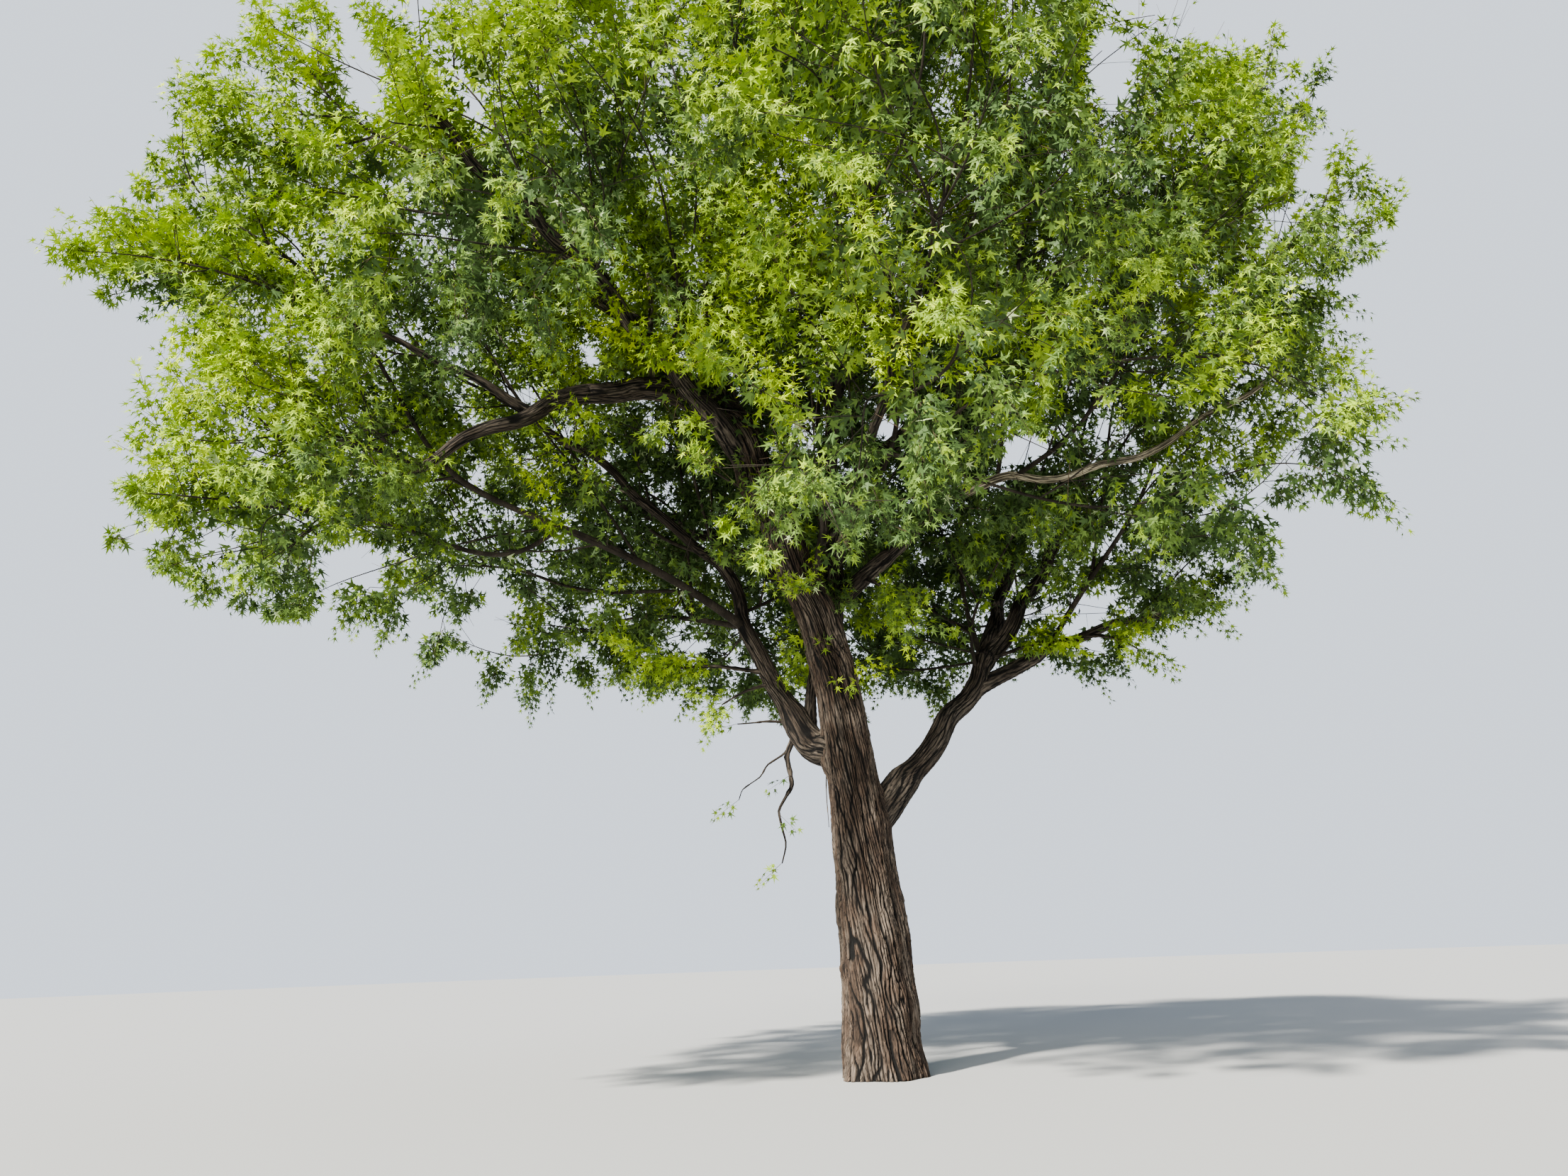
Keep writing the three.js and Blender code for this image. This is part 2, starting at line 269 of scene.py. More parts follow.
# %% The limbs
# Columns: name, parent, at, bearing, reach, rise, bow, thick, thin.
LIMBS = {row[0]: row[1:] for row in [
    ("main_stem", "trunk", 0.93, 224, 1.95, 3.5, -0.15, 0.265, 0.225),
    ("arch_bough", "main_stem", 0.93, 206, 2.15, -0.2, 0.325, 0.19, 0.122),
    ("arch_bough_outer", "arch_bough", 0.97, 206, 2.2, -1.55, 0.325, 0.122, 0.05),
    ("left_leader", "main_stem", 0.9, 170, 1.9, 5.2, 0.5, 0.15, 0.075),
    ("upper_left_bough", "main_stem", 0.8, 196, 4.6, 4.3, 0.3, 0.14, 0.06),
    ("front_left_bough", "main_stem", 0.72, 232, 5.6, 2.5, 0.5, 0.13, 0.055),
    ("second_stem", "trunk", 0.95, 60, 0.75, 6.3, -0.2, 0.175, 0.09),
    ("right_leader", "second_stem", 0.36, 2, 4.7, 4.6, 0.5, 0.125, 0.06),
    ("low_front_bough", "second_stem", 0.12, 332, 2.25, 1.5, -0.12, 0.105, 0.062),
    ("pale_bough", "low_front_bough", 0.96, 339, 4.4, 0.9, -1.0, 0.06, 0.028),
    ("front_bough", "second_stem", 0.22, 280, 5.3, 1.5, 0.0, 0.095, 0.04),
    ("back_bough", "second_stem", 0.3, 88, 5.0, 3.6, 0.45, 0.12, 0.055),
    ("back_left_bough", "second_stem", 0.12, 132, 5.5, 3.3, 0.35, 0.125, 0.055),
    ("left_bough", "trunk", 0.68, 154, 2.05, 3.45, -1.25, 0.19, 0.08),
    ("left_bough_upper", "left_bough", 0.97, 200, 3.4, 2.4, 0.08, 0.076, 0.045),
    ("right_bough", "trunk", 0.5, 31, 5.0, 6.0, -0.65, 0.19, 0.065),
    ("back_right_bough", "right_bough", 0.5, 62, 4.3, 4.3, 0.06, 0.12, 0.055),
    ("low_right_bough", "right_bough", 0.42, 8, 4.1, 1.5, 0.35, 0.095, 0.045),
]}

# Smaller branches that show well but are no part of the model: they have the same columns.
SIDE_BRANCHES = {row[0]: row[1:] for row in [
    ("arch_riser", "arch_bough", 0.52, 100, 0.15, 2.7, 0.1, 0.045, 0.02),
    ("left_tip_branch", "arch_bough_outer", 0.3, 214, 4.8, 0.85, 0.5, 0.05, 0.012),
    ("elbow_branch", "left_bough", 0.3, 70, 0.3, 1.5, -0.25, 0.085, 0.03),
    ("hanging_branch", "left_bough", 0.4, 215, 0.3, -2.0, 0.1, 0.042, 0.009),
    ("hanging_arm", "hanging_branch", 0.25, 190, 0.75, -0.75, 0.1, 0.016, 0.005),
    ("level_arm", "hanging_branch", 0.06, 186, 0.75, 0.02, 0.1, 0.022, 0.007),
    ("bare_twig", "left_bough", 0.17, 250, 0.16, -1.05, 0.15, 0.010, 0.004),
    ("drooping_branch", "left_bough", 0.55, 205, 0.8, -0.35, 0.2, 0.026, 0.008),
    ("long_left_branch", "left_bough", 0.6, 186, 1.9, 0.1, 0.15, 0.03, 0.01),
    ("low_spray_branch", "low_front_bough", 0.25, 296, 1.3, -1.0, 0.35, 0.028, 0.009),
    ("fork_spray_branch", "main_stem", 0.2, 262, 0.9, -0.1, 0.25, 0.026, 0.008),
    ("right_side_branch", "right_bough", 0.5, 350, 1.1, 0.2, 0.15, 0.032, 0.012),
    ("right_droop_branch", "low_right_bough", 0.45, 300, 1.2, -0.5, 0.3, 0.03, 0.009),
]}
GROWN = {**LIMBS, **SIDE_BRANCHES}


def bearing_vector(bearing):
    """The level unit vector on a bearing, in degrees anticlockwise from +X."""
    return np.array([math.cos(math.radians(bearing)), math.sin(math.radians(bearing)), 0.0])


def limb_curve(name, start, share):
    """Quadratic curve: start, then the middle of the chord raised by bow, then the end."""
    _, _, bearing, reach, rise, bow, _, _ = GROWN[name]
    end = start + bearing_vector(bearing) * reach + UP * rise
    control = (start + end) / 2 + UP * bow
    share = share[:, None]
    return (1 - share) ** 2 * start + 2 * share * (1 - share) * control + share ** 2 * end


print(len(LIMBS), "limbs of the model and", len(SIDE_BRANCHES), "side branches")

# %% [markdown]
# Middle lines. A real bough wanders, so every line gets a slow seeded sway that starts at nothing. Where one
# limb carries on from another the corner between them is averaged away. One bough dips in an elbow before it
# rises, and the few branches that hang are crooked to and fro. All of this happens on points at even steps,
# so a share of the line is also a number of rows.

# %% Middle lines of the trunk and the boughs
TRUNK_TOP = 6.05
CURVE_SAMPLES = 60
LINE_STEP = 0.05
BEND_LENGTH = 0.35
SWAY_PITCHES = [1.3, 2.9]
SWAY_SHARE = 0.022
SWAY_FADE = 0.2
STILL_SHARE_OF_TRUNK = 0.8
STILL_LENGTH = 0.3
GROWING_SWAY = 2.0

# The limb that carries straight on from another one.
CARRY_ON = {
    "trunk": "main_stem",
    "main_stem": "arch_bough",
    "arch_bough": "arch_bough_outer",
    "left_bough": "left_bough_upper",
    "low_front_bough": "pale_bough",
}

# Zigzags: swing and pitch. Elbows that dip: metres along, spread and drop.
CROOKS = {"hanging_branch": (0.10, 0.8), "hanging_arm": (0.05, 0.5), "level_arm": (0.04, 0.45)}
CROOK_TURN = 20
CROOK_START = 0.2
DIPS = {"left_bough": (0.78, 0.45, 0.22)}


def smoothed(values, reach, rounds=3):
    """Each row becomes the average of its neighbours within reach rows, the ends held, a few times over."""
    if len(values) < 3:
        return values
    reach = max(1, min(reach, (len(values) - 1) // 2))
    kernel = np.ones(2 * reach + 1) / (2 * reach + 1)
    for _ in range(rounds):
        first = 2 * values[:1] - values[reach:0:-1]
        last = 2 * values[-1:] - values[-2:-reach - 2:-1]
        padded = np.concatenate([first, values, last])
        columns = [np.convolve(padded[:, k], kernel, mode="valid") for k in range(values.shape[1])]
        values = np.stack(columns, axis=1)
    return values


def limbs_in_a_row(first, start):
    """Name, points, radii and shares of a limb and of those that carry on from it."""
    rows = []
    name = first
    while name:
        following = CARRY_ON.get(name)
        last_share = GROWN[following][1] if following else 1.0
        share = np.linspace(0, last_share, CURVE_SAMPLES)
        if name == "trunk":
            points = trunk_centre(share * TRUNK_TOP)
            radii = trunk_radius(share * TRUNK_TOP)
        else:
            thick, thin = GROWN[name][6:]
            points = limb_curve(name, start, share)
            radii = thick + (thin - thick) * share
        rows.append((name, points, radii, share))
        start = points[-1]
        name = following
    return rows


def wander(first, points, along, seed):
    """Moves a line's points: a sway of two sines per axis whose size grows over the first metres, a dip of
    the shape e to the minus square, and a zigzag, each only for the lines that have one."""
    rng = np.random.default_rng(seed)
    still = TRUNK_TOP * STILL_SHARE_OF_TRUNK if first == "trunk" else STILL_LENGTH
    free = np.clip(along - still, 0, None)
    for pitch in SWAY_PITCHES:
        phase = rng.uniform(0, 2 * math.pi, 3)
        swing = np.sin(along[:, None] * 2 * math.pi / pitch + phase) - np.sin(phase)
        points += SWAY_SHARE * np.minimum(free, GROWING_SWAY)[:, None] * swing / pitch ** SWAY_FADE
    if first in DIPS:
        middle, spread, drop = DIPS[first]
        points -= drop * np.exp(-((along - middle) / spread) ** 2)[:, None] * UP
    if first in CROOKS:
        swing, pitch = CROOKS[first]
        way = bearing_vector(GROWN[first][2] + CROOK_TURN)
        crook = np.abs((along / pitch + 0.25) % 1 - 0.5) * 4 - 1
        points += swing * crook[:, None] * way * np.clip(along / CROOK_START, 0, 1)[:, None]


def make_line(first, start, seed):
    """The joined middle line that begins with one limb: points, radii, whose they are, and the share of the
    way along that limb, at even steps. A point that two limbs share is kept once."""
    rows = limbs_in_a_row(first, start)
    points, radii, share = [
        np.concatenate([row[column][(k > 0):] for k, row in enumerate(rows)]) for column in (1, 2, 3)
    ]
    owner = np.concatenate([np.full(len(row[1]) - (k > 0), k) for k, row in enumerate(rows)])
    along = np.concatenate([[0], np.cumsum(np.linalg.norm(np.diff(points, axis=0), axis=1))])
    even = np.linspace(0, along[-1], int(along[-1] / LINE_STEP) + 1)
    points = np.stack([np.interp(even, along, points[:, k]) for k in range(3)], axis=1)
    radii = np.interp(even, along, radii)
    owner = owner[np.searchsorted(along, even).clip(0, len(owner) - 1)]
    share = np.interp(even, along, share)
    reach = int(BEND_LENGTH / LINE_STEP)
    points = smoothed(points, reach)
    radii = smoothed(radii[:, None], reach)[:, 0]
    wander(first, points, even, seed)
    names = [row[0] for row in rows]
    return {"names": names, "points": points, "radii": radii, "owner": owner, "share": share, "along": even}


def place_on(name, share):
    """The line and the row at a share of a limb's length."""
    for line in lines:
        if name in line["names"]:
            mine = line["owner"] == line["names"].index(name)
            return line, np.argmin(np.where(mine, np.abs(line["share"] - share), np.inf))
    raise ValueError(name)


lines = [make_line("trunk", None, 1)]
lines[0]["parent"] = None
for seed, name in enumerate(GROWN, start=2):
    if any(name in line["names"] for line in lines):
        continue
    parent_line, parent_row = place_on(GROWN[name][0], GROWN[name][1])
    line = make_line(name, parent_line["points"][parent_row], seed)
    line["parent"] = parent_line
    line["parent_row"] = parent_row
    lines.append(line)
for line in lines:
    line["way"] = line["along"].copy()
    if line["parent"]:
        line["way"] += line["parent"]["way"][line["parent_row"]]
print(len(lines), "lines,", round(sum(line["along"][-1] for line in lines), 1), "m of trunk and boughs")

# %% [markdown]
# The foliage masses of the model are closed solids. The leaves should fill the space that they share, so the
# crown is turned into a grid of small cells, which answers questions about a place at once. A column of
# cells is inside a solid between the heights where it crosses the surface: counting how many triangles lie
# below a cell tells it apart, because the count is odd only inside.

# %% Solids as cells
CELL = 0.25
MARGIN = 6
grid_low = np.array(cad_low) - MARGIN * CELL
grid_shape = tuple(np.ceil((np.array(cad_high) - np.array(cad_low)) / CELL).astype(int) + 2 * MARGIN)


def node_triangles(name):
    """The triangles of a node, as an array of three corners each."""
    mesh = frame["nodes"][name].data
    mesh.calc_loop_triangles()
    points = np.empty(len(mesh.vertices) * 3, np.float32)
    mesh.vertices.foreach_get("co", points)
    corners = np.empty(len(mesh.loop_triangles) * 3, np.int32)
    mesh.loop_triangles.foreach_get("vertices", corners)
    return points.reshape(-1, 3)[corners].reshape(-1, 3, 3).astype(float)


def cells_inside(triangles):
    """True for cells whose middle lies inside a closed solid: a line up through the cell's column crosses
    the surface an odd number of times below it. A column meets a triangle a, b, c where both its shares v
    and w, areas over the triangle's area, are positive and together less than one."""
    inside = np.zeros(grid_shape, bool)
    low = np.floor((triangles.min((0, 1)) - grid_low) / CELL).astype(int)
    high = np.ceil((triangles.max((0, 1)) - grid_low) / CELL).astype(int) + 1
    xs, ys, zs = [grid_low[k] + (np.arange(low[k], high[k]) + 0.5) * CELL for k in range(3)]
    x, y = np.meshgrid(xs, ys, indexing="ij")
    a, b, c = triangles[:, 0], triangles[:, 1], triangles[:, 2]
    area = (b[:, 0] - a[:, 0]) * (c[:, 1] - a[:, 1]) - (b[:, 1] - a[:, 1]) * (c[:, 0] - a[:, 0])
    area = np.where(np.abs(area) < 1e-12, 1e-12, area)
    px = x[..., None] - a[:, 0]
    py = y[..., None] - a[:, 1]
    v = (px * (c[:, 1] - a[:, 1]) - py * (c[:, 0] - a[:, 0])) / area
    w = (py * (b[:, 0] - a[:, 0]) - px * (b[:, 1] - a[:, 1])) / area
    hit = (v >= 0) & (w >= 0) & (v + w <= 1)
    height = a[:, 2] + v * (b[:, 2] - a[:, 2]) + w * (c[:, 2] - a[:, 2])
    height = np.where(hit, height, np.inf)
    crossings = (height[:, :, None, :] < zs[None, None, :, None]).sum(-1)
    inside[low[0]:high[0], low[1]:high[1], low[2]:high[2]] = crossings % 2 == 1
    return inside


mass_of_cell = np.full(grid_shape, -1)
for number, name in enumerate(masses):
    mass_of_cell[cells_inside(node_triangles(name))] = number
print((mass_of_cell >= 0).sum(), "of", mass_of_cell.size, "cells lie in a mass")

# %% [markdown]
# Leaves follow the light: they stand thickly near the outside of a crown and thinly within. So each cell gets
# its depth below the open air, which spreads inwards from cell to cell, and the direction in which the depth
# falls off is the way out to the light. The room round the stems, which the masses enclose, gets shaded
# leaves too, and so does the place behind the arching bough.

# %% The room that the crown fills
INSIDE_RADIUS = 4.7
INSIDE_LOW = 6.2
INSIDE_LOW_BEHIND = 4.9
BEHIND_FROM = 0.4
INSIDE_HIGH = 12.5
INSIDE_RISE = 0.12
FILLED_SHARE = 0.42
ROUNDING = 2
SMOOTHING = 3
VERY_DEEP = 99.0

# The room behind the arching bough: its middle, radius and heights.
BEHIND_ARCH = (-5.0, 1.2, 2.7, 6.3, 10.5)


def spread_depth(filled):
    """Depth below the open air in metres: the least depth of a neighbour plus the way to it, again and
    again until nothing changes."""
    depth = np.where(filled, VERY_DEEP, 0.0)
    offsets = np.array([(i, j, k) for i in (-1, 0, 1) for j in (-1, 0, 1) for k in (-1, 0, 1)])
    offsets = offsets[np.abs(offsets).sum(1) > 0]
    while True:
        before = depth.copy()
        for offset in offsets:
            step = CELL * math.sqrt(float((offset ** 2).sum()))
            depth = np.minimum(depth, np.roll(depth, tuple(offset), axis=(0, 1, 2)) + step)
        if np.array_equal(before, depth):
            return depth


def blurred(values, rounds):
    """Averages each cell with its neighbours along each axis: a quarter of both and a half of its own."""
    for _ in range(rounds):
        for axis in range(3):
            values = (2 * values + np.roll(values, 1, axis) + np.roll(values, -1, axis)) / 4
    return values


def look_up(grid, points):
    """The value of the cell that each point lies in."""
    cell = np.floor((points - grid_low) / CELL).astype(int)
    cell = np.clip(cell, 0, np.array(grid_shape) - 1)
    return grid[cell[:, 0], cell[:, 1], cell[:, 2]]


cell_x, cell_y, cell_z = [grid_low[k] + (np.arange(n) + 0.5) * CELL for k, n in enumerate(grid_shape)]
from_axis = np.hypot(cell_x[:, None], cell_y[None, :])[:, :, None]
least_height = np.where(cell_y > BEHIND_FROM, INSIDE_LOW_BEHIND, INSIDE_LOW)[None, :, None]
least_height = least_height + INSIDE_RISE * from_axis
enclosed = (from_axis < INSIDE_RADIUS) & (cell_z > least_height) & (cell_z < INSIDE_HIGH)
middle_x, middle_y, reach, lowest, highest = BEHIND_ARCH
from_middle = np.hypot(cell_x[:, None] - middle_x, cell_y[None, :] - middle_y)[:, :, None]
enclosed |= (from_middle < reach) & (cell_z > lowest) & (cell_z < highest)
filled = blurred(((mass_of_cell >= 0) | enclosed).astype(float), ROUNDING) > FILLED_SHARE
depth_grid = spread_depth(filled) - spread_depth(~filled)
smooth_depth = blurred(depth_grid, SMOOTHING)
way_out = -np.stack(np.gradient(smooth_depth, CELL), axis=-1)
print("crown of", round(filled.sum() * CELL ** 3), "cubic metres")
print("its deepest place is", round(depth_grid.max(), 1), "m below the open air")

# %% [markdown]
# Openings. A crown is not a filled shape: light breaks through it, and some limbs can be followed from far
# off because no leaves hang before them. Gaps of the first kind come from smooth noise, where it is lowest.
# The others belong to one view, so they are kept as ellipses in the picture, each with the distances between
# which nothing may grow.

# %% Openings in the crown
SEED = 20
RING_NAMES = ["skirt", "middle", "shoulder", "upper", "heart"]

# Where light or a limb shows through the leaves, in the picture's pixels: middle across and down, half width
# and half height, and the distances from the eye between which it is kept open.
OPENINGS = [
    ("arch_top", 935, 557, 125, 34, 0, 15.6),
    ("arch_rise", 1045, 625, 44, 72, 0, 16.0),
    ("arch_end", 790, 582, 100, 34, 0, 14.8),
    ("arch_riser", 919, 430, 13, 30, 0, 15.9),
    ("pale_limb_low", 1470, 665, 75, 22, 0, 15.7),
    ("pale_limb_middle", 1590, 642, 70, 22, 0, 15.4),
    ("pale_limb_rise", 1680, 598, 50, 30, 0, 15.2),
    ("pale_limb_high", 1760, 552, 48, 34, 0, 15.0),
    ("left_limb", 930, 700, 70, 60, 0, 17.4),
    ("left_limb_low", 1050, 930, 50, 80, 0, 17.2),
    ("right_limb", 1330, 1040, 90, 110, 0, 17.0),
    ("fork", 1175, 850, 30, 90, 0, 15.8),
    ("light_by_the_arch", 735, 562, 26, 16, 0, 60),
    ("light_over_the_arch", 835, 505, 15, 20, 0, 60),
    ("light_right_of_stem", 1255, 604, 28, 22, 0, 60),
    ("light_by_the_pale_limb", 1450, 625, 28, 18, 0, 60),
    ("light_low_left", 495, 792, 52, 26, 0, 60),
    ("light_low_middle", 690, 880, 38, 30, 0, 60),
    ("over_the_tip", 125, 245, 62, 46, 0, 60),
    ("under_the_tip", 105, 458, 58, 50, 0, 60),
    ("before_the_tip", 14, 325, 46, 70, 0, 60),
    ("notch_left", 515, 115, 34, 44, 0, 60),
    ("notch_right", 1568, 105, 34, 66, 0, 60),
    ("upper_right", 1700, -70, 150, 130, 0, 60),
    ("far_right", 1850, 250, 26, 34, 0, 60),
    ("right_edge", 1975, 508, 20, 26, 0, 60),
]
SOFT_EDGE = (0.3, 1.5)
GAP_ROUNDS = 8
GAP_SHARE = 0.11

rng = np.random.default_rng(SEED)
in_plume = np.array([name.split("_")[0] not in RING_NAMES for name in masses] + [True])
unevenness = blurred(rng.normal(size=grid_shape), GAP_ROUNDS)
gap_level = np.quantile(unevenness[filled], GAP_SHARE)


def in_opening(points):
    """True for points in a gap, where smooth noise is low, and for points that fall inside an opening's
    ellipse, between its two distances. The ellipse is a little larger or smaller for each point, so that
    its edge is ragged."""
    across, down, distance = picture_place(points)
    edge = rng.uniform(*SOFT_EDGE, len(points))
    inside = (look_up(unevenness, points) < gap_level) & ~in_plume[look_up(mass_of_cell, points)]
    for _, middle_across, middle_down, half_width, half_height, near, far in OPENINGS:
        share = ((across - middle_across) / half_width) ** 2 + ((down - middle_down) / half_height) ** 2
        inside |= (share < edge) & (distance > near) & (distance < far)
    return inside


print(len(OPENINGS), "openings, and", int(in_plume[:-1].sum()), "masses that are plumes of the outline")

# %% [markdown]
# The branching rule works towards goals, places that the growing tree tries to reach. They are strewn through
# the crown, one in each cell of a coarse grid, and thinned where it is dark. A mass that is a plume of the
# outline is small, so it gets closer goals, and some along its own long axis, so that a branch runs out
# through it. That axis is the direction in which its corners spread the most.

# %% Goals in the crown
GOAL_SPACING = 0.56
PLUME_SPACING = 0.42
STRAY = (0.05, 0.95)
SHELL_DEPTH = 1.7
INNER_SHARE = 0.75
LEAST_DEPTH = 0.48
LEAST_IN_PLUMES = 0.2
AXIS_SPACING = 0.32
AXIS_SHARE = 0.8
AXIS_STRAY = 0.05


def strewn(spacing):
    """One point in each cell of a coarse grid over the crown, strayed at random."""
    count = np.ceil((np.array(cad_high) - np.array(cad_low)) / spacing).astype(int)
    corners = np.stack(np.meshgrid(*[np.arange(n) for n in count], indexing="ij"), axis=-1).reshape(-1, 3)
    return np.array(cad_low) + (corners + rng.uniform(*STRAY, corners.shape)) * spacing


def strew_goals():
    """Points through the crown, thinned with depth, and closer ones in the small masses of the outline."""
    wide = strewn(GOAL_SPACING)
    depth = look_up(smooth_depth, wide)
    keep = rng.uniform(size=len(wide)) < np.where(depth < SHELL_DEPTH, 1.0, INNER_SHARE)
    of_mass = look_up(mass_of_cell, wide)
    wide = wide[keep & (depth > LEAST_DEPTH) & ((of_mass < 0) | ~in_plume[of_mass])]
    close = strewn(PLUME_SPACING)
    of_mass = look_up(mass_of_cell, close)
    close = close[(of_mass >= 0) & in_plume[of_mass] & (look_up(depth_grid, close) > LEAST_IN_PLUMES)]
    both = np.concatenate([wide, close])
    return both[~in_opening(both)]


def axis_goals():
    """Goals through each plume of the outline along its longest way, from its inner end outwards."""
    middle = (np.array(cad_low) + np.array(cad_high)) / 2
    found = []
    for name in np.array(masses)[in_plume[:-1]]:
        corners = node_triangles(name).reshape(-1, 3)
        centre = corners.mean(axis=0)
        axis = np.linalg.eigh(np.cov((corners - centre).T))[1][:, 2]
        axis = axis * np.sign(axis @ (centre - middle) + 2 * axis[2])
        reach = (corners - centre) @ axis
        steps = np.arange(reach.min() * AXIS_SHARE, reach.max() * AXIS_SHARE, AXIS_SPACING)
        found.append(centre + steps[:, None] * axis + rng.normal(0, AXIS_STRAY, (len(steps), 3)))
    return np.concatenate(found)


goals = np.concatenate([strew_goals(), axis_goals()])
print(len(goals), "goals")

# %% [markdown]
# The branching rule itself. Each goal is joined to the growing network where that costs least. The price of
# a join is its length, more if it turns back from the way its parent grows and more again if it is a long
# jump, plus a toll on the whole way back to the ground. The toll makes branches run outwards instead of from
# neighbour to neighbour. This is how plants seem to settle between little wood and short ways for sap, and
# it gives natural forks from one rule. The loop runs once for each goal, but what it does is done for all
# open goals at once.

# %% The network of branches
TOLL = 0.42
TURN_PRICE = 0.7
JUMP_PRICE = 0.45
NEW_HEADING = 0.7
OLD_HEADING = 0.3
ROOT_STEP = 6
BARE_SHARE = 0.3
BARE_SHARE_OF_TRUNK = 0.55

# Side branches on which nothing grows but the sprigs that they are given later.
BARE_ONES = ["elbow_branch", "hanging_branch", "hanging_arm", "level_arm", "bare_twig"]


def limb_roots():
    """Points on the boughs from which branches may grow, with the way to the ground, heading and radius."""
    columns = []
    for line in lines:
        if line["names"][0] in BARE_ONES:
            continue
        bare = BARE_SHARE_OF_TRUNK if line["parent"] is None else BARE_SHARE
        rows = np.arange(len(line["points"]) - 1, int(len(line["points"]) * bare), -ROOT_STEP)
        heading = unit(line["points"][rows] - line["points"][rows - 2])
        columns.append((line["points"][rows], line["way"][rows], heading, line["radii"][rows]))
    return [np.concatenate(column) for column in zip(*columns)]


def join_goals(roots, root_way, root_heading):
    """Joins the cheapest open goal to the network, then offers it as a parent to the rest."""
    points = np.concatenate([roots, goals])
    count = len(roots)
    parent = np.full(len(points), -1)
    way = np.concatenate([root_way, np.zeros(len(goals))])
    heading = np.concatenate([root_heading, np.zeros((len(goals), 3))])
    best_price = np.full(len(goals), np.inf)
    best_parent = np.zeros(len(goals), int)
    unjoined = np.ones(len(goals), bool)

    def offer(node):
        """Price = length * (1 + turn's price * turn + jump's price * length) + toll * way to the ground."""
        step = goals - points[node]
        length = np.linalg.norm(step, axis=1)
        turn = 1 - (step @ heading[node]) / np.maximum(length, 1e-9)
        price = length * (1 + TURN_PRICE * turn + JUMP_PRICE * length) + TOLL * way[node]
        better = unjoined & (price < best_price)
        best_price[better] = price[better]
        best_parent[better] = node

    for node in range(count):
        offer(node)
    order = []
    for _ in range(len(goals)):
        pick = int(np.argmin(np.where(unjoined, best_price, np.inf)))
        node = count + pick
        unjoined[pick] = False
        parent[node] = best_parent[pick]
        step = points[node] - points[parent[node]]
        length = np.linalg.norm(step)
        way[node] = way[parent[node]] + length
        heading[node] = unit(NEW_HEADING * step / length + OLD_HEADING * heading[parent[node]])
        order.append(node)
        offer(node)
    return points, parent, np.array(order)


roots, root_way, root_heading, root_size = limb_roots()
points, parent, order = join_goals(roots, root_way, root_heading)
root_count = len(roots)

tips = np.zeros(len(points))
tips[root_count:] = 1
main_child = np.full(len(points), -1)
for node in order[::-1]:
    tips[parent[node]] += tips[node]
for node in order:
    held = main_child[parent[node]]
    if held < 0 or tips[node] > tips[held]:
        main_child[parent[node]] = node
is_tip = main_child[root_count:] < 0
print(root_count, "roots,", int(is_tip.sum()), "branch tips")

# %% [markdown]
# A raw network has a corner at every goal. Moving each inner point towards the middle of its parent and its
# main child a few times bends the corners into easy curves. The thickness follows the old rule that the
# limbs above a fork add up to the limb below it, here with a power a little over two.

# %% Smoothing and thickness
TIP_RADIUS = 0.0042
PIPE_POWER = 2.25
ROUNDS = 5
KEPT_PLACE = 0.45
MOVED_PLACE = 0.55

inner = np.flatnonzero((main_child >= 0) & (parent >= 0))
for _ in range(ROUNDS):
    middle = (points[parent[inner]] + points[main_child[inner]]) / 2
    points[inner] = KEPT_PLACE * points[inner] + MOVED_PLACE * middle
branch_radius = TIP_RADIUS * tips ** (1 / PIPE_POWER)
branch_radius[:root_count] = np.minimum(branch_radius[:root_count], root_size)

chain_starts = [n for n in order if parent[n] < root_count or main_child[parent[n]] != n]
chains = []
for node in chain_starts:
    chain = [parent[node], node]
    while main_child[chain[-1]] >= 0:
        chain.append(main_child[chain[-1]])
    chains.append(chain)
print(len(chains), "branches, the longest with", max(len(c) for c in chains), "points")

# %% [markdown]
# Now the network can be drawn. Between two of its points a branch is a smooth curve that passes through both,
# and its radius is carried along the same curve. Branches with the same number of points are worked out
# together as one array, which keeps the loop down to a few rounds for thousands of branches.

# %% Curves and tubes of the branches
BRANCH_COLLAR = 1.15
LEAST_RADIUS = 0.002


def curve_through(paths, steps):
    """A smooth curve through the points of many paths: between two points it is the cubic whose slopes at
    its ends are half the way between their neighbours."""
    before = np.concatenate([2 * paths[:, :1] - paths[:, 1:2], paths[:, :-1]], axis=1)[:, :-1]
    after = np.concatenate([paths[:, 1:], 2 * paths[:, -1:] - paths[:, -2:-1]], axis=1)[:, 1:]
    a, b = paths[:, :-1], paths[:, 1:]
    t = (np.arange(steps) / steps)[None, None, :, None]
    a, b, before, after = a[:, :, None], b[:, :, None], before[:, :, None], after[:, :, None]
    curve = 0.5 * (
        2 * a + (b - before) * t + (2 * before - 5 * a + 4 * b - after) * t ** 2
        + (3 * a - before - 3 * b + after) * t ** 3
    )
    curve = curve.reshape(len(paths), -1, paths.shape[2])
    return np.concatenate([curve, paths[:, -1:]], axis=1)


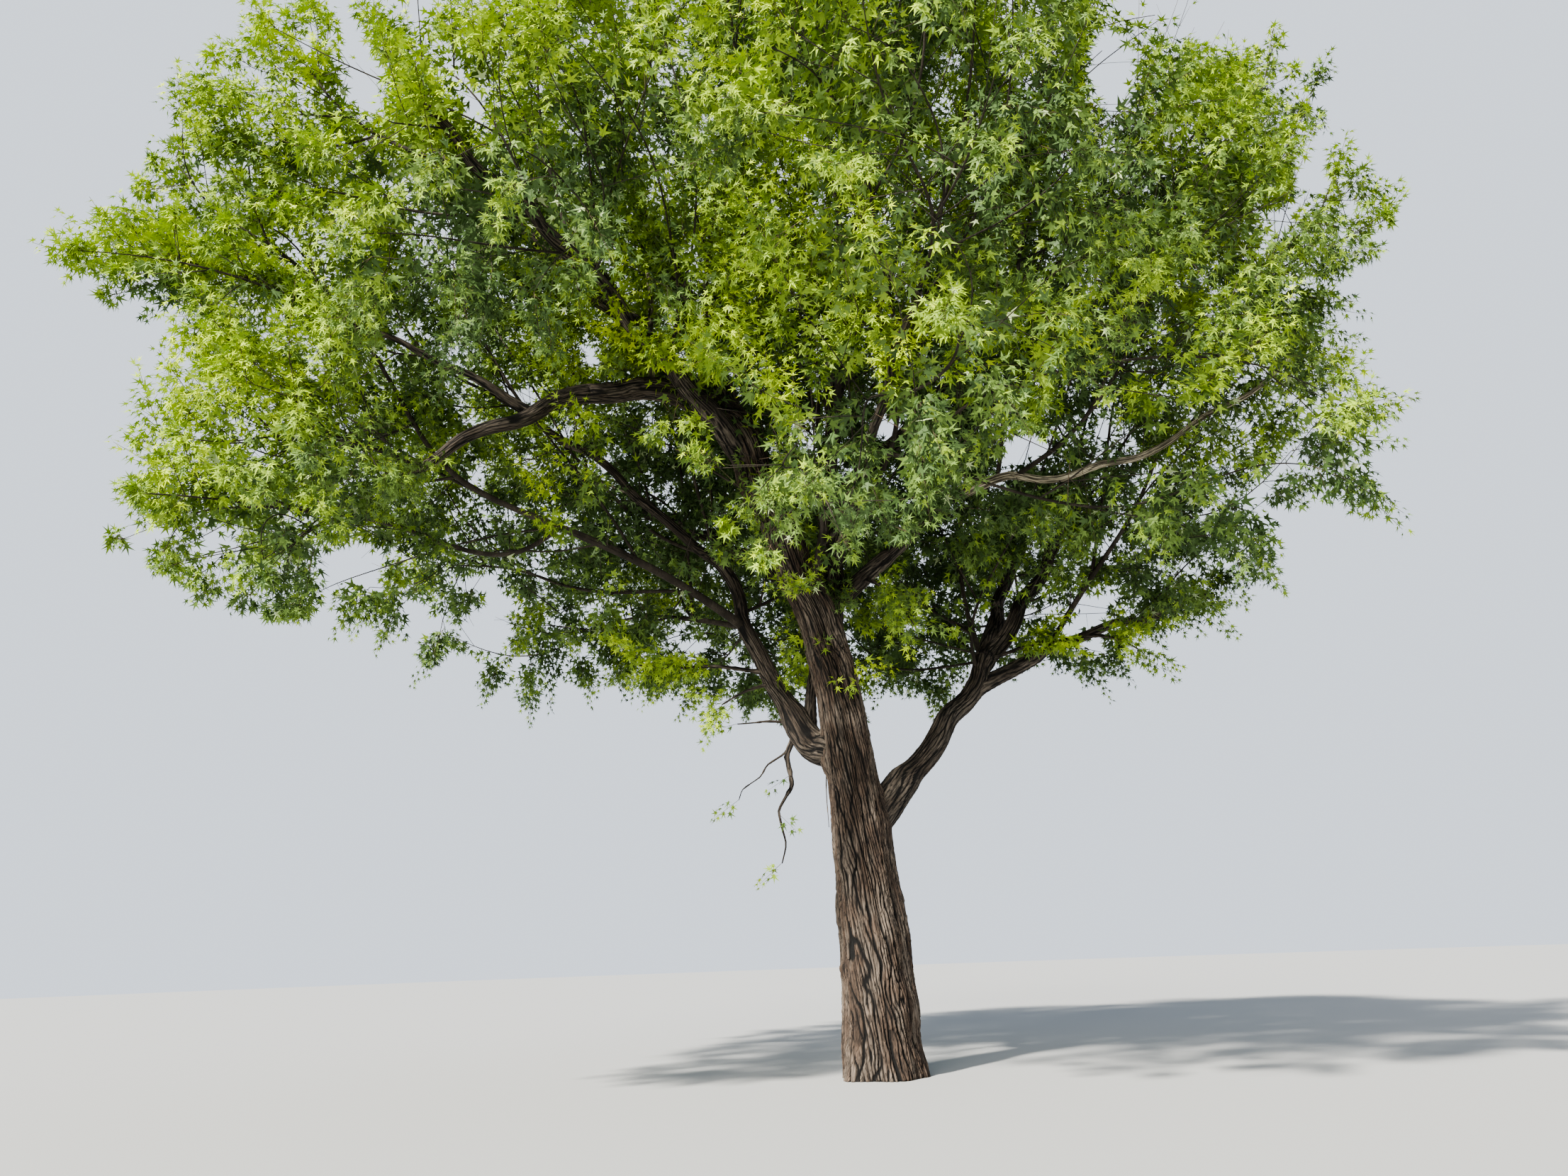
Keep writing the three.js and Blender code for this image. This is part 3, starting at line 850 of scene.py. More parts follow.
def branch_tubes(chosen, sides, steps):
    """Tubes for the chosen branches: those with the same number of points are worked out together."""
    all_points, all_quads, all_caps, count = [], [], [], 0
    by_length = {}
    for chain in chosen:
        by_length.setdefault(len(chain), []).append(chain)
    for _, group in sorted(by_length.items()):
        group = np.array(group)
        values = np.concatenate([points[group], branch_radius[group][..., None]], axis=-1)
        values[:, 0, 3] = np.minimum(values[:, 1, 3] * BRANCH_COLLAR, values[:, 0, 3])
        values = curve_through(values, steps)
        tubes = tube_points(values[..., :3], np.maximum(values[..., 3], LEAST_RADIUS), sides)
        quads, caps = tube_faces(len(group), values.shape[1], sides)
        all_points.append(tubes)
        all_quads.append(quads + count)
        all_caps.append(caps + count)
        count += len(tubes)
    return np.concatenate(all_points), np.concatenate(all_quads), np.concatenate(all_caps)


print("3 points drawn in 4 steps make", curve_through(np.zeros((1, 3, 3)), 4).shape[1], "rings")

# %% [markdown]
# Bark. On an old silver maple it breaks into long narrow strips that run together and part again, with dark
# furrows between them, and the strips split and hang loose at their lower ends. A furrow is the line where
# the sine of a phase that grows round the limb passes through zero. Noise that is drawn out upwards makes
# the phase wander, and where a close set of furrows and a wide set wander over each other they cut the bark
# into long lenses. All of it is real geometry on a fine grid, so it also roughens the outline.

# %% Furrows from noise
LATTICE_ROWS = 64
FINE_WANDER = 0.4
FINE_PITCH = 0.3
DEPTH_PITCH = 0.5
MEAN_DEPTH = 0.72
DEPTH_SPREAD = 0.4
LEAST_FURROW_DEPTH = 0.15


def eased(share):
    """Share held between 0 and 1 and eased at both ends: 3 s squared less 2 s cubed."""
    share = np.clip(share, 0, 1)
    return share * share * (3 - 2 * share)


def lattice_noise(across, along, columns, seed):
    """Smooth noise from -1 to 1: seeded values on a lattice that closes round after a number of columns,
    eased from each corner to the next."""
    values = np.random.default_rng(seed).uniform(-1, 1, (LATTICE_ROWS, columns))
    column, row = np.floor(across).astype(int), np.floor(along).astype(int)
    x, y = eased(across - column), eased(along - row)
    column_next, row_next = (column + 1) % columns, (row + 1) % LATTICE_ROWS
    column, row = column % columns, row % LATTICE_ROWS
    lower = values[row, column] * (1 - x) + values[row, column_next] * x
    upper = values[row_next, column] * (1 - x) + values[row_next, column_next] * x
    return lower * (1 - y) + upper * y


def furrows(turn, along, columns, pitch, wander, width, seed):
    """One set of furrows, as many as columns: 0 in a furrow and 1 away from it. The phase is the column plus
    wander times noise of the given pitch along the limb, and each furrow is deep and shallow by turns."""
    x = turn * columns
    sway = lattice_noise(x / 2, along / pitch, columns // 2, seed)
    sway = sway + FINE_WANDER * lattice_noise(x, along / (FINE_PITCH * pitch), columns, seed + 1)
    depth = MEAN_DEPTH + DEPTH_SPREAD * lattice_noise(x, along / (DEPTH_PITCH * pitch), columns, seed + 2)
    wall = eased(np.abs(np.sin(math.pi * (x + wander * sway))) / width)
    return 1 - np.clip(depth, LEAST_FURROW_DEPTH, 1) * (1 - wall)


sample = furrows(np.linspace(0, 1, 500), np.zeros(500), 10, 0.5, 0.8, 0.8, 1)
print("a row across ten furrows runs from", round(sample.min(), 2), "to", round(sample.max(), 2))

# %% [markdown]
# The whole relief is a close set of furrows times a wide set, less fine splits, with strips that lift off
# towards their lower ends. The number of strips follows the thickness of the limb. A limb grows thinner all
# the way, so where one number of strips gives way to the next, the two patterns pass into each other.

# %% Bark relief
TWIST = 0.035

# Pitch, wander and width of the two sets of furrows.
STRIP_FURROWS = (0.5, 0.8, 0.8)
PLATE_FURROWS = (0.75, 0.7, 0.45)
COLUMNS_IN_A_PLATE = 6

SPLIT_PITCH = 0.2
SPLIT_WIDTH = 0.18
SPLIT_DEPTH = 0.16
STRIP_LENGTH = 0.34
LOOSE_PITCH = 0.7
LOOSE_SHIFT = 1.6
LOOSE_LIFT = 0.2
TILT_PITCH = 0.4
TILT = 0.12
FLAT_STRIP = 0.72
FIBRE_PITCH = 0.11
FIBRE_HEIGHT = 0.05
FIBRES_IN_A_STRIP = 5

# How many strips there are round a limb: least and greatest radius for which the number holds.
STRIPS = [(0.21, 9.0, 58), (0.095, 0.21, 26), (0.0, 0.095, 14)]
FADE = 0.12
THINNEST = 0.01
SEEDS_FOR_ONE_NUMBER = 20


def bark_relief(turn, along, columns, seed):
    """Height of the bark from 0 in the furrows to about 1 on the strips: strips * plates * (flat + tilt +
    lift), less the splits where noise is near zero, plus fibres."""
    turn = turn + TWIST * along
    strips = furrows(turn, along, columns, *STRIP_FURROWS, seed)
    plates = furrows(turn, along, 2 * (columns // COLUMNS_IN_A_PLATE), *PLATE_FURROWS, seed + 3)
    x = turn * columns
    split = np.abs(lattice_noise(2 * x, along / SPLIT_PITCH, columns * 2, seed + 6))
    phase = lattice_noise(x, along / LOOSE_PITCH, columns, seed + 7)
    loose = (along / STRIP_LENGTH + LOOSE_SHIFT * phase) % 1.0
    tilt = lattice_noise(x, along / TILT_PITCH, columns, seed + 8)
    fibres = lattice_noise(FIBRES_IN_A_STRIP * x, along / FIBRE_PITCH, columns * FIBRES_IN_A_STRIP, seed + 9)
    ridge = strips * plates * (FLAT_STRIP + TILT * tilt + LOOSE_LIFT * (1 - loose) ** 2)
    return ridge - SPLIT_DEPTH * (1 - eased(split / SPLIT_WIDTH)) * strips + FIBRE_HEIGHT * fibres


def limb_relief(turn, along, radius, seed):
    """Bark for a whole line: where it grows thinner, one number of strips passes into the next within a
    change of radius by the share FADE."""
    relief = np.zeros_like(along)
    for number, (least, greatest, columns) in enumerate(STRIPS):
        share = eased((radius - least) / (FADE * max(least, THINNEST)) + 0.5)
        share = share - eased((radius - greatest) / (FADE * greatest) + 0.5)
        if share.max() > 0:
            relief += share[:, None] * bark_relief(turn, along, columns, seed + SEEDS_FOR_ONE_NUMBER * number)
    return relief


sample_turn, sample_along = np.meshgrid(np.linspace(0, 1, 400), np.linspace(0, 2, 200))
sample = bark_relief(sample_turn, sample_along, STRIPS[0][2], 1)
print("the relief of two metres of bark runs from", round(sample.min(), 2), "to", round(sample.max(), 2))

# %% [markdown]
# The surface of a limb is a grid of rings and corners round its middle line. The round section is made uneven
# first: lobes at the foot where roots begin, shallow flutes up the trunk, slow lumps, a collar where a bough
# leaves the trunk, and burls, the round swellings that grow over old wounds. The bark's relief lies on top.

# %% Rings round a limb
FLARE_LOBES = 5
LOBE_DEPTH = 0.09
FLUTE_DEPTH = 0.14
FLUTES_FULL_AT = 3
FLUTES_END_AT = 7
LUMPS = 0.05
COLLAR = 0.22
COLLAR_LENGTH = 2.2
NEARLY_UP = UP + 0.01

# Flutes: number round the trunk, turn for each metre up, phase and share. Lumps: number round and pitch.
FLUTES = [(3, 0.5, 0.0, 1.0), (5, -0.35, 1.0, 0.7)]
TRUNK_LUMPS = (5, 0.42)
BOUGH_LUMPS = (4, 0.45)


def ring_frame(line, step):
    """Rings at even steps of a line: the distance along it, centre, radius, and two vectors square to it.
    The trunk's first ring is level."""
    is_trunk = line["names"][0] == "trunk"
    total = line["along"][-1]
    along = np.linspace(0, total, int(total / step) + 1)
    centre = np.stack([np.interp(along, line["along"], line["points"][:, k]) for k in range(3)], axis=1)
    radius = np.interp(along, line["along"], line["radii"])
    tangent = unit(np.gradient(smoothed(centre, 3), axis=0))
    if is_trunk:
        tangent[0] = UP
    side = np.array([1.0, 0.0, 0.0]) if is_trunk else unit(np.cross(tangent[0], NEARLY_UP))
    sides_out = np.empty_like(centre)
    for row in range(len(centre)):
        side = unit(side - (side @ tangent[row]) * tangent[row])
        sides_out[row] = side
    return along, centre, radius, sides_out, np.cross(tangent, sides_out)


def uneven_radius(is_trunk, radius, angle, turn, along, seed):
    """The radius of each ring times 1 + each unevenness: lobes and flutes on the trunk, which are cosines
    and sines of the angle, a collar that dies away along a bough, and lumps from noise."""
    grid_radius = np.repeat(radius[:, None], len(angle), axis=1)
    if is_trunk:
        flare = np.exp(-along / FLARE_HEIGHT)
        grid_radius *= 1 + LOBE_DEPTH * flare * np.cos(FLARE_LOBES * angle)
        flutes = sum(share * np.sin(count * angle + turning * along + phase)
                     for count, turning, phase, share in FLUTES)
        fluted = np.clip(along / FLUTES_FULL_AT, 0, 1) * np.clip(FLUTES_END_AT - along, 0, 1)
        grid_radius *= 1 + FLUTE_DEPTH * flutes * fluted
    else:
        grid_radius *= 1 + COLLAR * np.exp(-along / (COLLAR_LENGTH * radius[0]))
    count, pitch = TRUNK_LUMPS if is_trunk else BOUGH_LUMPS
    return grid_radius * (1 + LUMPS * lattice_noise(turn * count, along / pitch, count, seed + 9))


rings = len(ring_frame(lines[0], LINE_STEP)[0])
print("at steps of", LINE_STEP, "m the trunk, the stem and the arch that go on from it have", rings, "rings")

# %% [markdown]
# Where a bough leaves its parent the wood runs from one into the other without a corner. So the bark swells
# near other wood: by a quarter of a blending width at the other limb's surface, falling off to nothing at
# that width from it. This fills the angle on both sides and the meshes pass into each other under the bark.

# %% Trunk and bough surfaces
RELIEF_SHARE = 0.16
MOST_RELIEF = 0.055
BLEND_SHARE = 1.15
CHILD_REACH = 1.6
PARENT_REACH = 1.2

# Swellings on the bark: limb, metres along its line, bearing, spread and height.
BURLS = [
    ("trunk", 1.36, 182, 0.07, 0.05),
    ("trunk", 2.75, 215, 0.20, 0.03),
    ("trunk", 4.05, 190, 0.16, 0.07),
    ("left_bough", 0.45, 262, 0.14, 0.08),
    ("left_bough", 0.74, 250, 0.13, 0.11),
    ("left_bough", 0.98, 225, 0.12, 0.06),
    ("arch_bough", 6.9, 265, 0.16, 0.05),
    ("right_bough", 1.9, 300, 0.12, 0.04),
]


def nearest_wood(surface, line, rows):
    """Distance from each point to the round surface of part of a line: the least distance to its middle
    points less their radii."""
    gap = np.full(len(surface), np.inf)
    for row in rows:
        gap = np.minimum(gap, np.linalg.norm(surface - line["points"][row], axis=1) - line["radii"][row])
    return gap


def joint_rows(line, other):
    """The rows of another line near which this one may swell, and the blending width: the first stretch of
    a line that leaves this one, the parent's stretch round the joint, or the first stretch of any line that
    leaves the same parent, this one too. Nothing for all other lines."""
    start, other_start = line["radii"][0], other["radii"][0]
    if other["parent"] is line:
        return range(0, min(len(other["points"]), int(CHILD_REACH / LINE_STEP)), 2), BLEND_SHARE * other_start
    reach = int(PARENT_REACH / LINE_STEP)
    if line["parent"] is other:
        middle = line["parent_row"]
        last = min(len(other["points"]), middle + reach)
        return range(max(0, middle - reach), last, 2), BLEND_SHARE * start
    if line["parent"] and other["parent"] is line["parent"]:
        return range(0, min(len(other["points"]), reach), 2), BLEND_SHARE * min(start, other_start)
    return (), 0.0


def swelling(surface, line):
    """The greatest of near squared * blend / 4 over the other lines, where near is 1 less gap / blend."""
    swell = np.zeros(len(surface))
    for other in lines:
        rows, blend = joint_rows(line, other)
        if rows:
            near = np.clip(1 - np.abs(nearest_wood(surface, other, rows)) / blend, 0, None)
            swell = np.maximum(swell, near ** 2 * blend / 4)
    return swell


def bark_surface(line, sides, step, seed):
    """Centre + (uneven radius + height * (relief less a half) + swelling) * out, on a grid of rings. Returns
    the grid, the place of each point on the same limb drawn out straight, its relief and the limb that it
    is part of."""
    is_trunk = line["names"][0] == "trunk"
    along, centre, radius, side, over = ring_frame(line, step)
    turn = np.arange(sides) / sides
    angle = 2 * math.pi * turn
    out = np.cos(angle)[:, None] * side[:, None] + np.sin(angle)[:, None] * over[:, None]
    turn_grid, along_grid = np.meshgrid(turn, along)
    grid_radius = uneven_radius(is_trunk, radius, angle, turn_grid, along_grid, seed)
    relief = limb_relief(turn_grid, along_grid, radius, seed)
    height = np.minimum(RELIEF_SHARE * radius, MOST_RELIEF)[:, None]
    for name, burl_along, bearing, spread, burl_height in BURLS:
        if name in line["names"]:
            facing = np.arccos(np.clip(out @ bearing_vector(bearing), -1, 1)) * grid_radius
            grid_radius += burl_height * np.exp(-(facing ** 2 + (along_grid - burl_along) ** 2) / spread ** 2)
    surface = centre[:, None] + (grid_radius + height * (relief - 0.5))[..., None] * out
    swell = swelling(surface.reshape(-1, 3), line)
    surface += swell.reshape(surface.shape[:2])[..., None] * out
    if is_trunk:
        surface[0, :, 2] = 0.0
    straight = np.stack(
        [np.outer(radius, np.cos(angle)), np.outer(radius, np.sin(angle)), along_grid], axis=-1
    )
    owner = line["owner"][np.searchsorted(line["along"], along).clip(0, len(line["owner"]) - 1)]
    return surface, straight, relief, owner


print(len(BURLS), "burls and", len(lines), "lines to cover with bark")

# %% [markdown]
# The finish of the bark takes the furrow and plate colours from the same relief that shaped the mesh, so
# colour and shape agree. Long fibres, thin cracks and slow patches of a warmer tone are noise in the places
# of the limb drawn out straight: there the pattern runs along the limb wherever it bends, and closes all
# round it. Building such a network of nodes goes faster with one small function for each kind of step.

# %% Helpers for nodes
MIX_FIRST = 6
MIX_SECOND = 7
MIX_RESULT = 2


def add_node(tree, kind, **values):
    """A new node; each further value goes to the input or setting of that name."""
    node = tree.nodes.new(kind)
    for name, value in values.items():
        if name in node.inputs:
            node.inputs[name].default_value = value
        else:
            setattr(node, name, value)
    return node


def noise_of(tree, place, scales, detail):
    """Noise of the place times a scale for each axis: a small scale draws the noise out along that axis."""
    scaled = add_node(tree, "ShaderNodeVectorMath", operation="MULTIPLY")
    scaled.inputs[1].default_value = scales
    tree.links.new(place, scaled.inputs[0])
    noise = add_node(tree, "ShaderNodeTexNoise", Scale=1.0, Detail=detail)
    tree.links.new(scaled.outputs[0], noise.inputs["Vector"])
    return noise.outputs["Fac"]


def ranged(tree, value, limits, kind="LINEAR"):
    """A value carried from one range to another: limits are from, from, to, to, and it stops at both ends."""
    node = add_node(tree, "ShaderNodeMapRange", interpolation_type=kind)
    for name, limit in zip(("From Min", "From Max", "To Min", "To Max"), limits):
        node.inputs[name].default_value = limit
    tree.links.new(value, node.inputs["Value"])
    return node.outputs["Result"]


def calculated(tree, operation, *values):
    """One step of arithmetic on sockets or numbers."""
    node = add_node(tree, "ShaderNodeMath", operation=operation)
    for number, value in enumerate(values):
        if isinstance(value, float):
            node.inputs[number].default_value = value
        else:
            tree.links.new(value, node.inputs[number])
    return node.outputs[0]


def mixed(tree, share, first, second):
    """The first colour where the share is 0 and the second where it is 1."""
    node = add_node(tree, "ShaderNodeMix", data_type="RGBA")
    tree.links.new(share, node.inputs["Factor"])
    tree.links.new(first, node.inputs[MIX_FIRST])
    tree.links.new(second, node.inputs[MIX_SECOND])
    return node.outputs[MIX_RESULT]


print("helpers for noise, ranges, sums and mixed colours")

# %% [markdown]
# All bark shares one group of nodes, and each material gives it colours of its own: near black in the
# furrows, which is darker bark and painted shade in one, grey brown on the strips, and on two limbs a pale
# finish brightened further as painted sunlight. Slow patches lean to a warmer colour, and fibres, cracks and
# the same patches change how strong the strip's colour is.

# %% Bark finishes
FIBRE_SCALES = (70.0, 70.0, 7.0)
CRACK_SCALES = (38.0, 38.0, 4.0)
PATCH_SCALES = (5.0, 5.0, 1.8)
CRACK_LIMITS = (0.0, 0.05, 0.35, 1.0)
WARM_LIMITS = (0.42, 0.62, 0.0, 1.0)
STREAK_LIMITS = (0.3, 0.7, 0.55, 1.35)
PATCH_BRIGHTNESS_LIMITS = (0.35, 0.68, 1.7, 0.5)
RAISED_LIMITS = (0.24, 0.88, 0.0, 1.0)
ROUGH_LIMITS = (0.0, 1.0, 1.0, 0.82)
RELIEF_OF_BRANCHES = 0.5
BUMP_DISTANCE = 0.012

# Columns: furrow colour (darker bark with painted shade), plate and warm colours, strength of the bump, and
# whether it follows the limb.
BARK_FINISHES = {
    "trunk bark": ((0.004, 0.0034, 0.003), (0.118, 0.093, 0.072), (0.122, 0.079, 0.053), 0.9, True),
    "bough bark": ((0.006, 0.005, 0.0045), (0.10, 0.081, 0.063), (0.097, 0.071, 0.051), 0.7, True),
    # The pale finish is lighter than the limb's own grey: painted sunlight on limbs that hang in the leaves'
    # shade.
    "pale bark with painted sun": ((0.06, 0.05, 0.038), (0.48, 0.42, 0.31), (0.40, 0.35, 0.25), 0.3, True),
    "branch bark": ((0.02, 0.016, 0.012), (0.085, 0.068, 0.052), (0.065, 0.048, 0.034), 0.2, False),
    "twig bark": ((0.06, 0.04, 0.025), (0.14, 0.10, 0.06), (0.13, 0.12, 0.05), 0.1, False),
}


def make_bark_group():
    """Relief and place in, colour, roughness and height out. A crack is where noise is near its middle."""
    tree = bpy.data.node_groups.new("bark colours", "ShaderNodeTree")
    for name, kind in [("Relief", "Float"), ("Place", "Vector"), ("Furrow and painted shade", "Color"), ("Plate", "Color"),
                       ("Warm", "Color")]:
        tree.interface.new_socket(name, in_out="INPUT", socket_type="NodeSocket" + kind)
    for name, kind in [("Colour", "Color"), ("Roughness", "Float"), ("Height", "Float")]:
        tree.interface.new_socket(name, in_out="OUTPUT", socket_type="NodeSocket" + kind)
    start = add_node(tree, "NodeGroupInput").outputs
    end = add_node(tree, "NodeGroupOutput").inputs

    fibres = noise_of(tree, start["Place"], FIBRE_SCALES, 3.0)
    patches = noise_of(tree, start["Place"], PATCH_SCALES, 2.0)
    lines_of_noise = noise_of(tree, start["Place"], CRACK_SCALES, 1.0)
    from_middle = calculated(tree, "ABSOLUTE", calculated(tree, "SUBTRACT", lines_of_noise, 0.5))
    crack = ranged(tree, from_middle, CRACK_LIMITS)

    tone = mixed(tree, ranged(tree, patches, WARM_LIMITS), start["Plate"], start["Warm"])
    cracked = calculated(tree, "MULTIPLY", ranged(tree, fibres, STREAK_LIMITS), crack)
    # Slow patches of noise scale the strip's colour, from half as bright to 1.7 times as bright.
    patchy = calculated(tree, "MULTIPLY", cracked, ranged(tree, patches, PATCH_BRIGHTNESS_LIMITS))
    streaked = add_node(tree, "ShaderNodeVectorMath", operation="SCALE")
    tree.links.new(tone, streaked.inputs[0])
    tree.links.new(patchy, streaked.inputs["Scale"])

    # Painted shade: where the relief is low, in the furrows, the colour goes to the near-black furrow colour.
    raised = ranged(tree, start["Relief"], RAISED_LIMITS, "SMOOTHSTEP")
    tree.links.new(mixed(tree, raised, start["Furrow and painted shade"], streaked.outputs[0]), end["Colour"])
    tree.links.new(ranged(tree, raised, ROUGH_LIMITS), end["Roughness"])
    tree.links.new(calculated(tree, "ADD", fibres, crack), end["Height"])
    return tree


def bark_material(name, furrow_and_shade, plate, warm, bump, follows_limb):
    """A finish with the bark group's colours. It reads the relief and the straight places of a limb's own
    mesh, or on thin branches, which have none, the object's own coordinates."""
    material = bpy.data.materials.new(name)
    material.use_nodes = True
    tree = material.node_tree
    shader = tree.nodes["Principled BSDF"]
    group = add_node(tree, "ShaderNodeGroup", node_tree=bark_group)
    for socket, colour in [("Furrow and painted shade", furrow_and_shade), ("Plate", plate), ("Warm", warm)]:
        group.inputs[socket].default_value = (*colour, 1.0)
    if follows_limb:
        relief = add_node(tree, "ShaderNodeAttribute", attribute_name="bark_relief")
        tree.links.new(relief.outputs["Fac"], group.inputs["Relief"])
        place = add_node(tree, "ShaderNodeAttribute", attribute_name="straight_place")
        tree.links.new(place.outputs["Vector"], group.inputs["Place"])
    else:
        group.inputs["Relief"].default_value = RELIEF_OF_BRANCHES
        place = add_node(tree, "ShaderNodeTexCoord")
        tree.links.new(place.outputs["Object"], group.inputs["Place"])
    tree.links.new(group.outputs["Colour"], shader.inputs["Base Color"])
    tree.links.new(group.outputs["Roughness"], shader.inputs["Roughness"])
    lifted = add_node(tree, "ShaderNodeBump", Strength=bump, Distance=BUMP_DISTANCE)
    tree.links.new(group.outputs["Height"], lifted.inputs["Height"])
    tree.links.new(lifted.outputs["Normal"], shader.inputs["Normal"])
    return material


bark_group = make_bark_group()
bark = {name: bark_material(name, *values) for name, values in BARK_FINISHES.items()}
print(len(bark), "kinds of bark from a group of", len(bark_group.nodes), "nodes")

# %% [markdown]
# The bark pieces. Every limb of the model becomes a piece of its own that stands in its place, cut from the
# grid of the line that it is part of. Neighbours share a row of points, so no gap opens between them. Thick
# limbs show their bark and get the closest grids. The relief and the straight places go into the mesh as
# attributes, where the finish reads them.

# %% The bark pieces
# Rows: least radius, corners round the limb and step along it. The line of the trunk runs on into thinner
# limbs, which take only every second or so of its rows and corners.
SIDES_AND_STEPS = [(0.25, 384, 0.024), (0.15, 96, 0.03), (0.10, 56, 0.045), (0.06, 32, 0.05), (0.0, 14, 0.06)]
THINNED = {"main_stem": (2, 2), "arch_bough": (2, 4), "arch_bough_outer": (2, 6)}
LIMB_BARK = {
    "trunk": "trunk bark",
    "main_stem": "trunk bark",
    "pale_bough": "pale bark with painted sun",
    "arch_riser": "pale bark with painted sun",
}
FIRST_SEED = 40
SEED_STEP = 100


def cut_rows(owner, number):
    """First and last row of a limb, with the row where the next one begins taken in."""
    rows = np.flatnonzero(owner == number)
    return rows[0], min(rows[-1] + 1, len(owner) - 1)


def bark_piece(name, surface, straight, relief, finish, slot, nodes):
    """Closes a grid of bark into a piece, with its straight places and relief kept for the finish."""
    rings, sides, _ = surface.shape
    quads, caps = tube_faces(1, rings, sides)
    piece, triangles = make_piece(
        name, surface.reshape(-1, 3), [(quads, 0, True), (caps, 0, False)], [finish], nodes
    )
    mesh = piece.data
    height = mesh.attributes.new("bark_relief", "FLOAT", "POINT")
    height.data.foreach_set("value", relief.astype(np.float32).ravel())
    place = mesh.attributes.new("straight_place", "FLOAT_VECTOR", "POINT")
    place.data.foreach_set("vector", straight.astype(np.float32).ravel())
    return triangles


bark_triangles = 0
for number, line in enumerate(lines):
    sides, step = next((s, d) for thick, s, d in SIDES_AND_STEPS if line["radii"].max() >= thick)
    surface, straight, relief, owner = bark_surface(line, sides, step, FIRST_SEED + SEED_STEP * number)
    for place, name in enumerate(line["names"]):
        first, last = cut_rows(owner, place)
        row_step, side_step = THINNED.get(name, (1, 1))
        rows = np.append(np.arange(first, last - row_step + 1, row_step), last)
        slot = "trunk_bark" if name == "trunk" else "bough_bark"
        finish = bark[LIMB_BARK.get(name, "bough bark")]
        nodes = [name] if name not in SIDE_BRANCHES else []
        grids = [grid[rows][:, ::side_step] for grid in (surface, straight, relief)]
        bark_triangles += bark_piece(name + "_bark", *grids, finish, slot, nodes)
print("bark", bark_triangles, "triangles")

# %% [markdown]
# The branches. They are joined into three pieces by thickness, because a thin branch needs fewer corners and
# steps than a thick one, and a thousand small objects would be slow to draw and hard to handle.

# %% The branches
THICKEST = 9.0
THICK_BRANCH = 0.022
MIDDLE_BRANCH = 0.010

# Columns: name, least and greatest radius, corners round the branch, and steps between two of its points.
BRANCH_PIECES = [
    ("branches_thick", THICK_BRANCH, THICKEST, 7, 3),
    ("branches_middle", MIDDLE_BRANCH, THICK_BRANCH, 5, 2),
    ("branches_thin", 0.0, MIDDLE_BRANCH, 3, 2),
]
branch_triangles = 0
first_radius = np.array([branch_radius[c[1]] for c in chains])
for name, low, high, sides, steps in BRANCH_PIECES:
    chosen = [c for c, r in zip(chains, first_radius) if low <= r < high]
    tube, quads, caps = branch_tubes(chosen, sides, steps)
    faces = [(quads, 0, True), (caps, 0, False)]
    _, triangles = make_piece(name, tube, faces, [bark["branch bark"]])
    branch_triangles += triangles
print("branches", branch_triangles, "triangles")

# %% [markdown]
# Shoots. A silver maple's foliage stands in plumes: each branch tip runs out in a long leader that curves
# up to the light, with pairs of side shoots low on it, and all of them are set closely with leaves. A shoot
# is told by its start, its heading, its length and a bend, so thousands of them are a few arrays, and one
# formula gives a place or a direction on all of them at once.

# %% Shoots as arrays
LEANING_UP = UP + 0.05


def shoots(start, heading, length, bend, pairs, plume):
    """A set of shoots as arrays. A shoot is start + length * (share * heading + share squared * bend)."""
    count = len(start)
    return {
        "start": start,
        "heading": heading,
        "length": np.broadcast_to(length, count),
        "bend": np.broadcast_to(bend, (count, 3)),
        "pairs": np.broadcast_to(pairs, count),
        "plume": plume,
    }


def along_shoots(group, share):
    """Places at a share of the way along each shoot."""
    share = np.broadcast_to(share, len(group["start"]))[:, None]
    return group["start"] + group["length"][:, None] * (share * group["heading"] + share ** 2 * group["bend"])


def shoot_axes(group, share):
    """The direction of growth at a share of the way, and two vectors square to it. The first of them is
    square to a vector that leans a little off the vertical too, so an upright shoot gets one as well."""
    share = np.broadcast_to(share, len(group["start"]))[:, None]
    axis = unit(group["heading"] + 2 * share * group["bend"])
    across = unit(np.cross(axis, LEANING_UP))
    return axis, across, np.cross(axis, across)


sample = shoots(np.zeros((1, 3)), np.array([[1.0, 0.0, 0.0]]), 1.0, 0.2 * UP, 2, np.zeros(1, int))
print("a level shoot with a bend of 0.2 ends at", along_shoots(sample, 1.0)[0])

# %% [markdown]
# Leaders. Every tip of the network bears one. It goes on from the branch, turns out to the light and curves
# up, but low on the crown, where the light comes from the side and below, it droops. Its end may stand only
# a little proud of the crown, or the outline would blur: so it is cut back a few times by what is too much.
# On the small plumes of the outline the leader is shorter and follows the branch more closely.

# %% Leaders of the plumes
LEADER_LENGTH = 1.15
LEADER_LENGTHS = (0.7, 1.35)
OUTLINE_SHARE = 0.78
LEADER_PAIRS = 17
FEWEST_PAIRS = 4
PROUD = (0.12, 0.5)
CUT_ROUNDS = 3
LEAST_KEPT = 0.45
RISE_LIMITS = (-0.6, 1.0)
LOW_RISE = -0.2
LEADER_STRAY = 0.17
BEND_UP = 0.16
BEND_DOWN = -0.2

# Shares of the branch's own way, of the way out and of straight up in the heading of a leader.
CROWN_ALONG, CROWN_OUT, CROWN_UP, CROWN_RISE = 0.5, 0.7, 0.3, 0.5
OUTLINE_ALONG, OUTLINE_OUT, OUTLINE_UP = 0.9, 0.35, 0.25


def pairs_for(pairs, fewest):
    """Pairs of leaves on a shoot: pairs * the leader's length / the usual length, and never fewer than so
    many."""
    return np.maximum(fewest, np.round(pairs * leaders["length"] / LEADER_LENGTH)).astype(int)


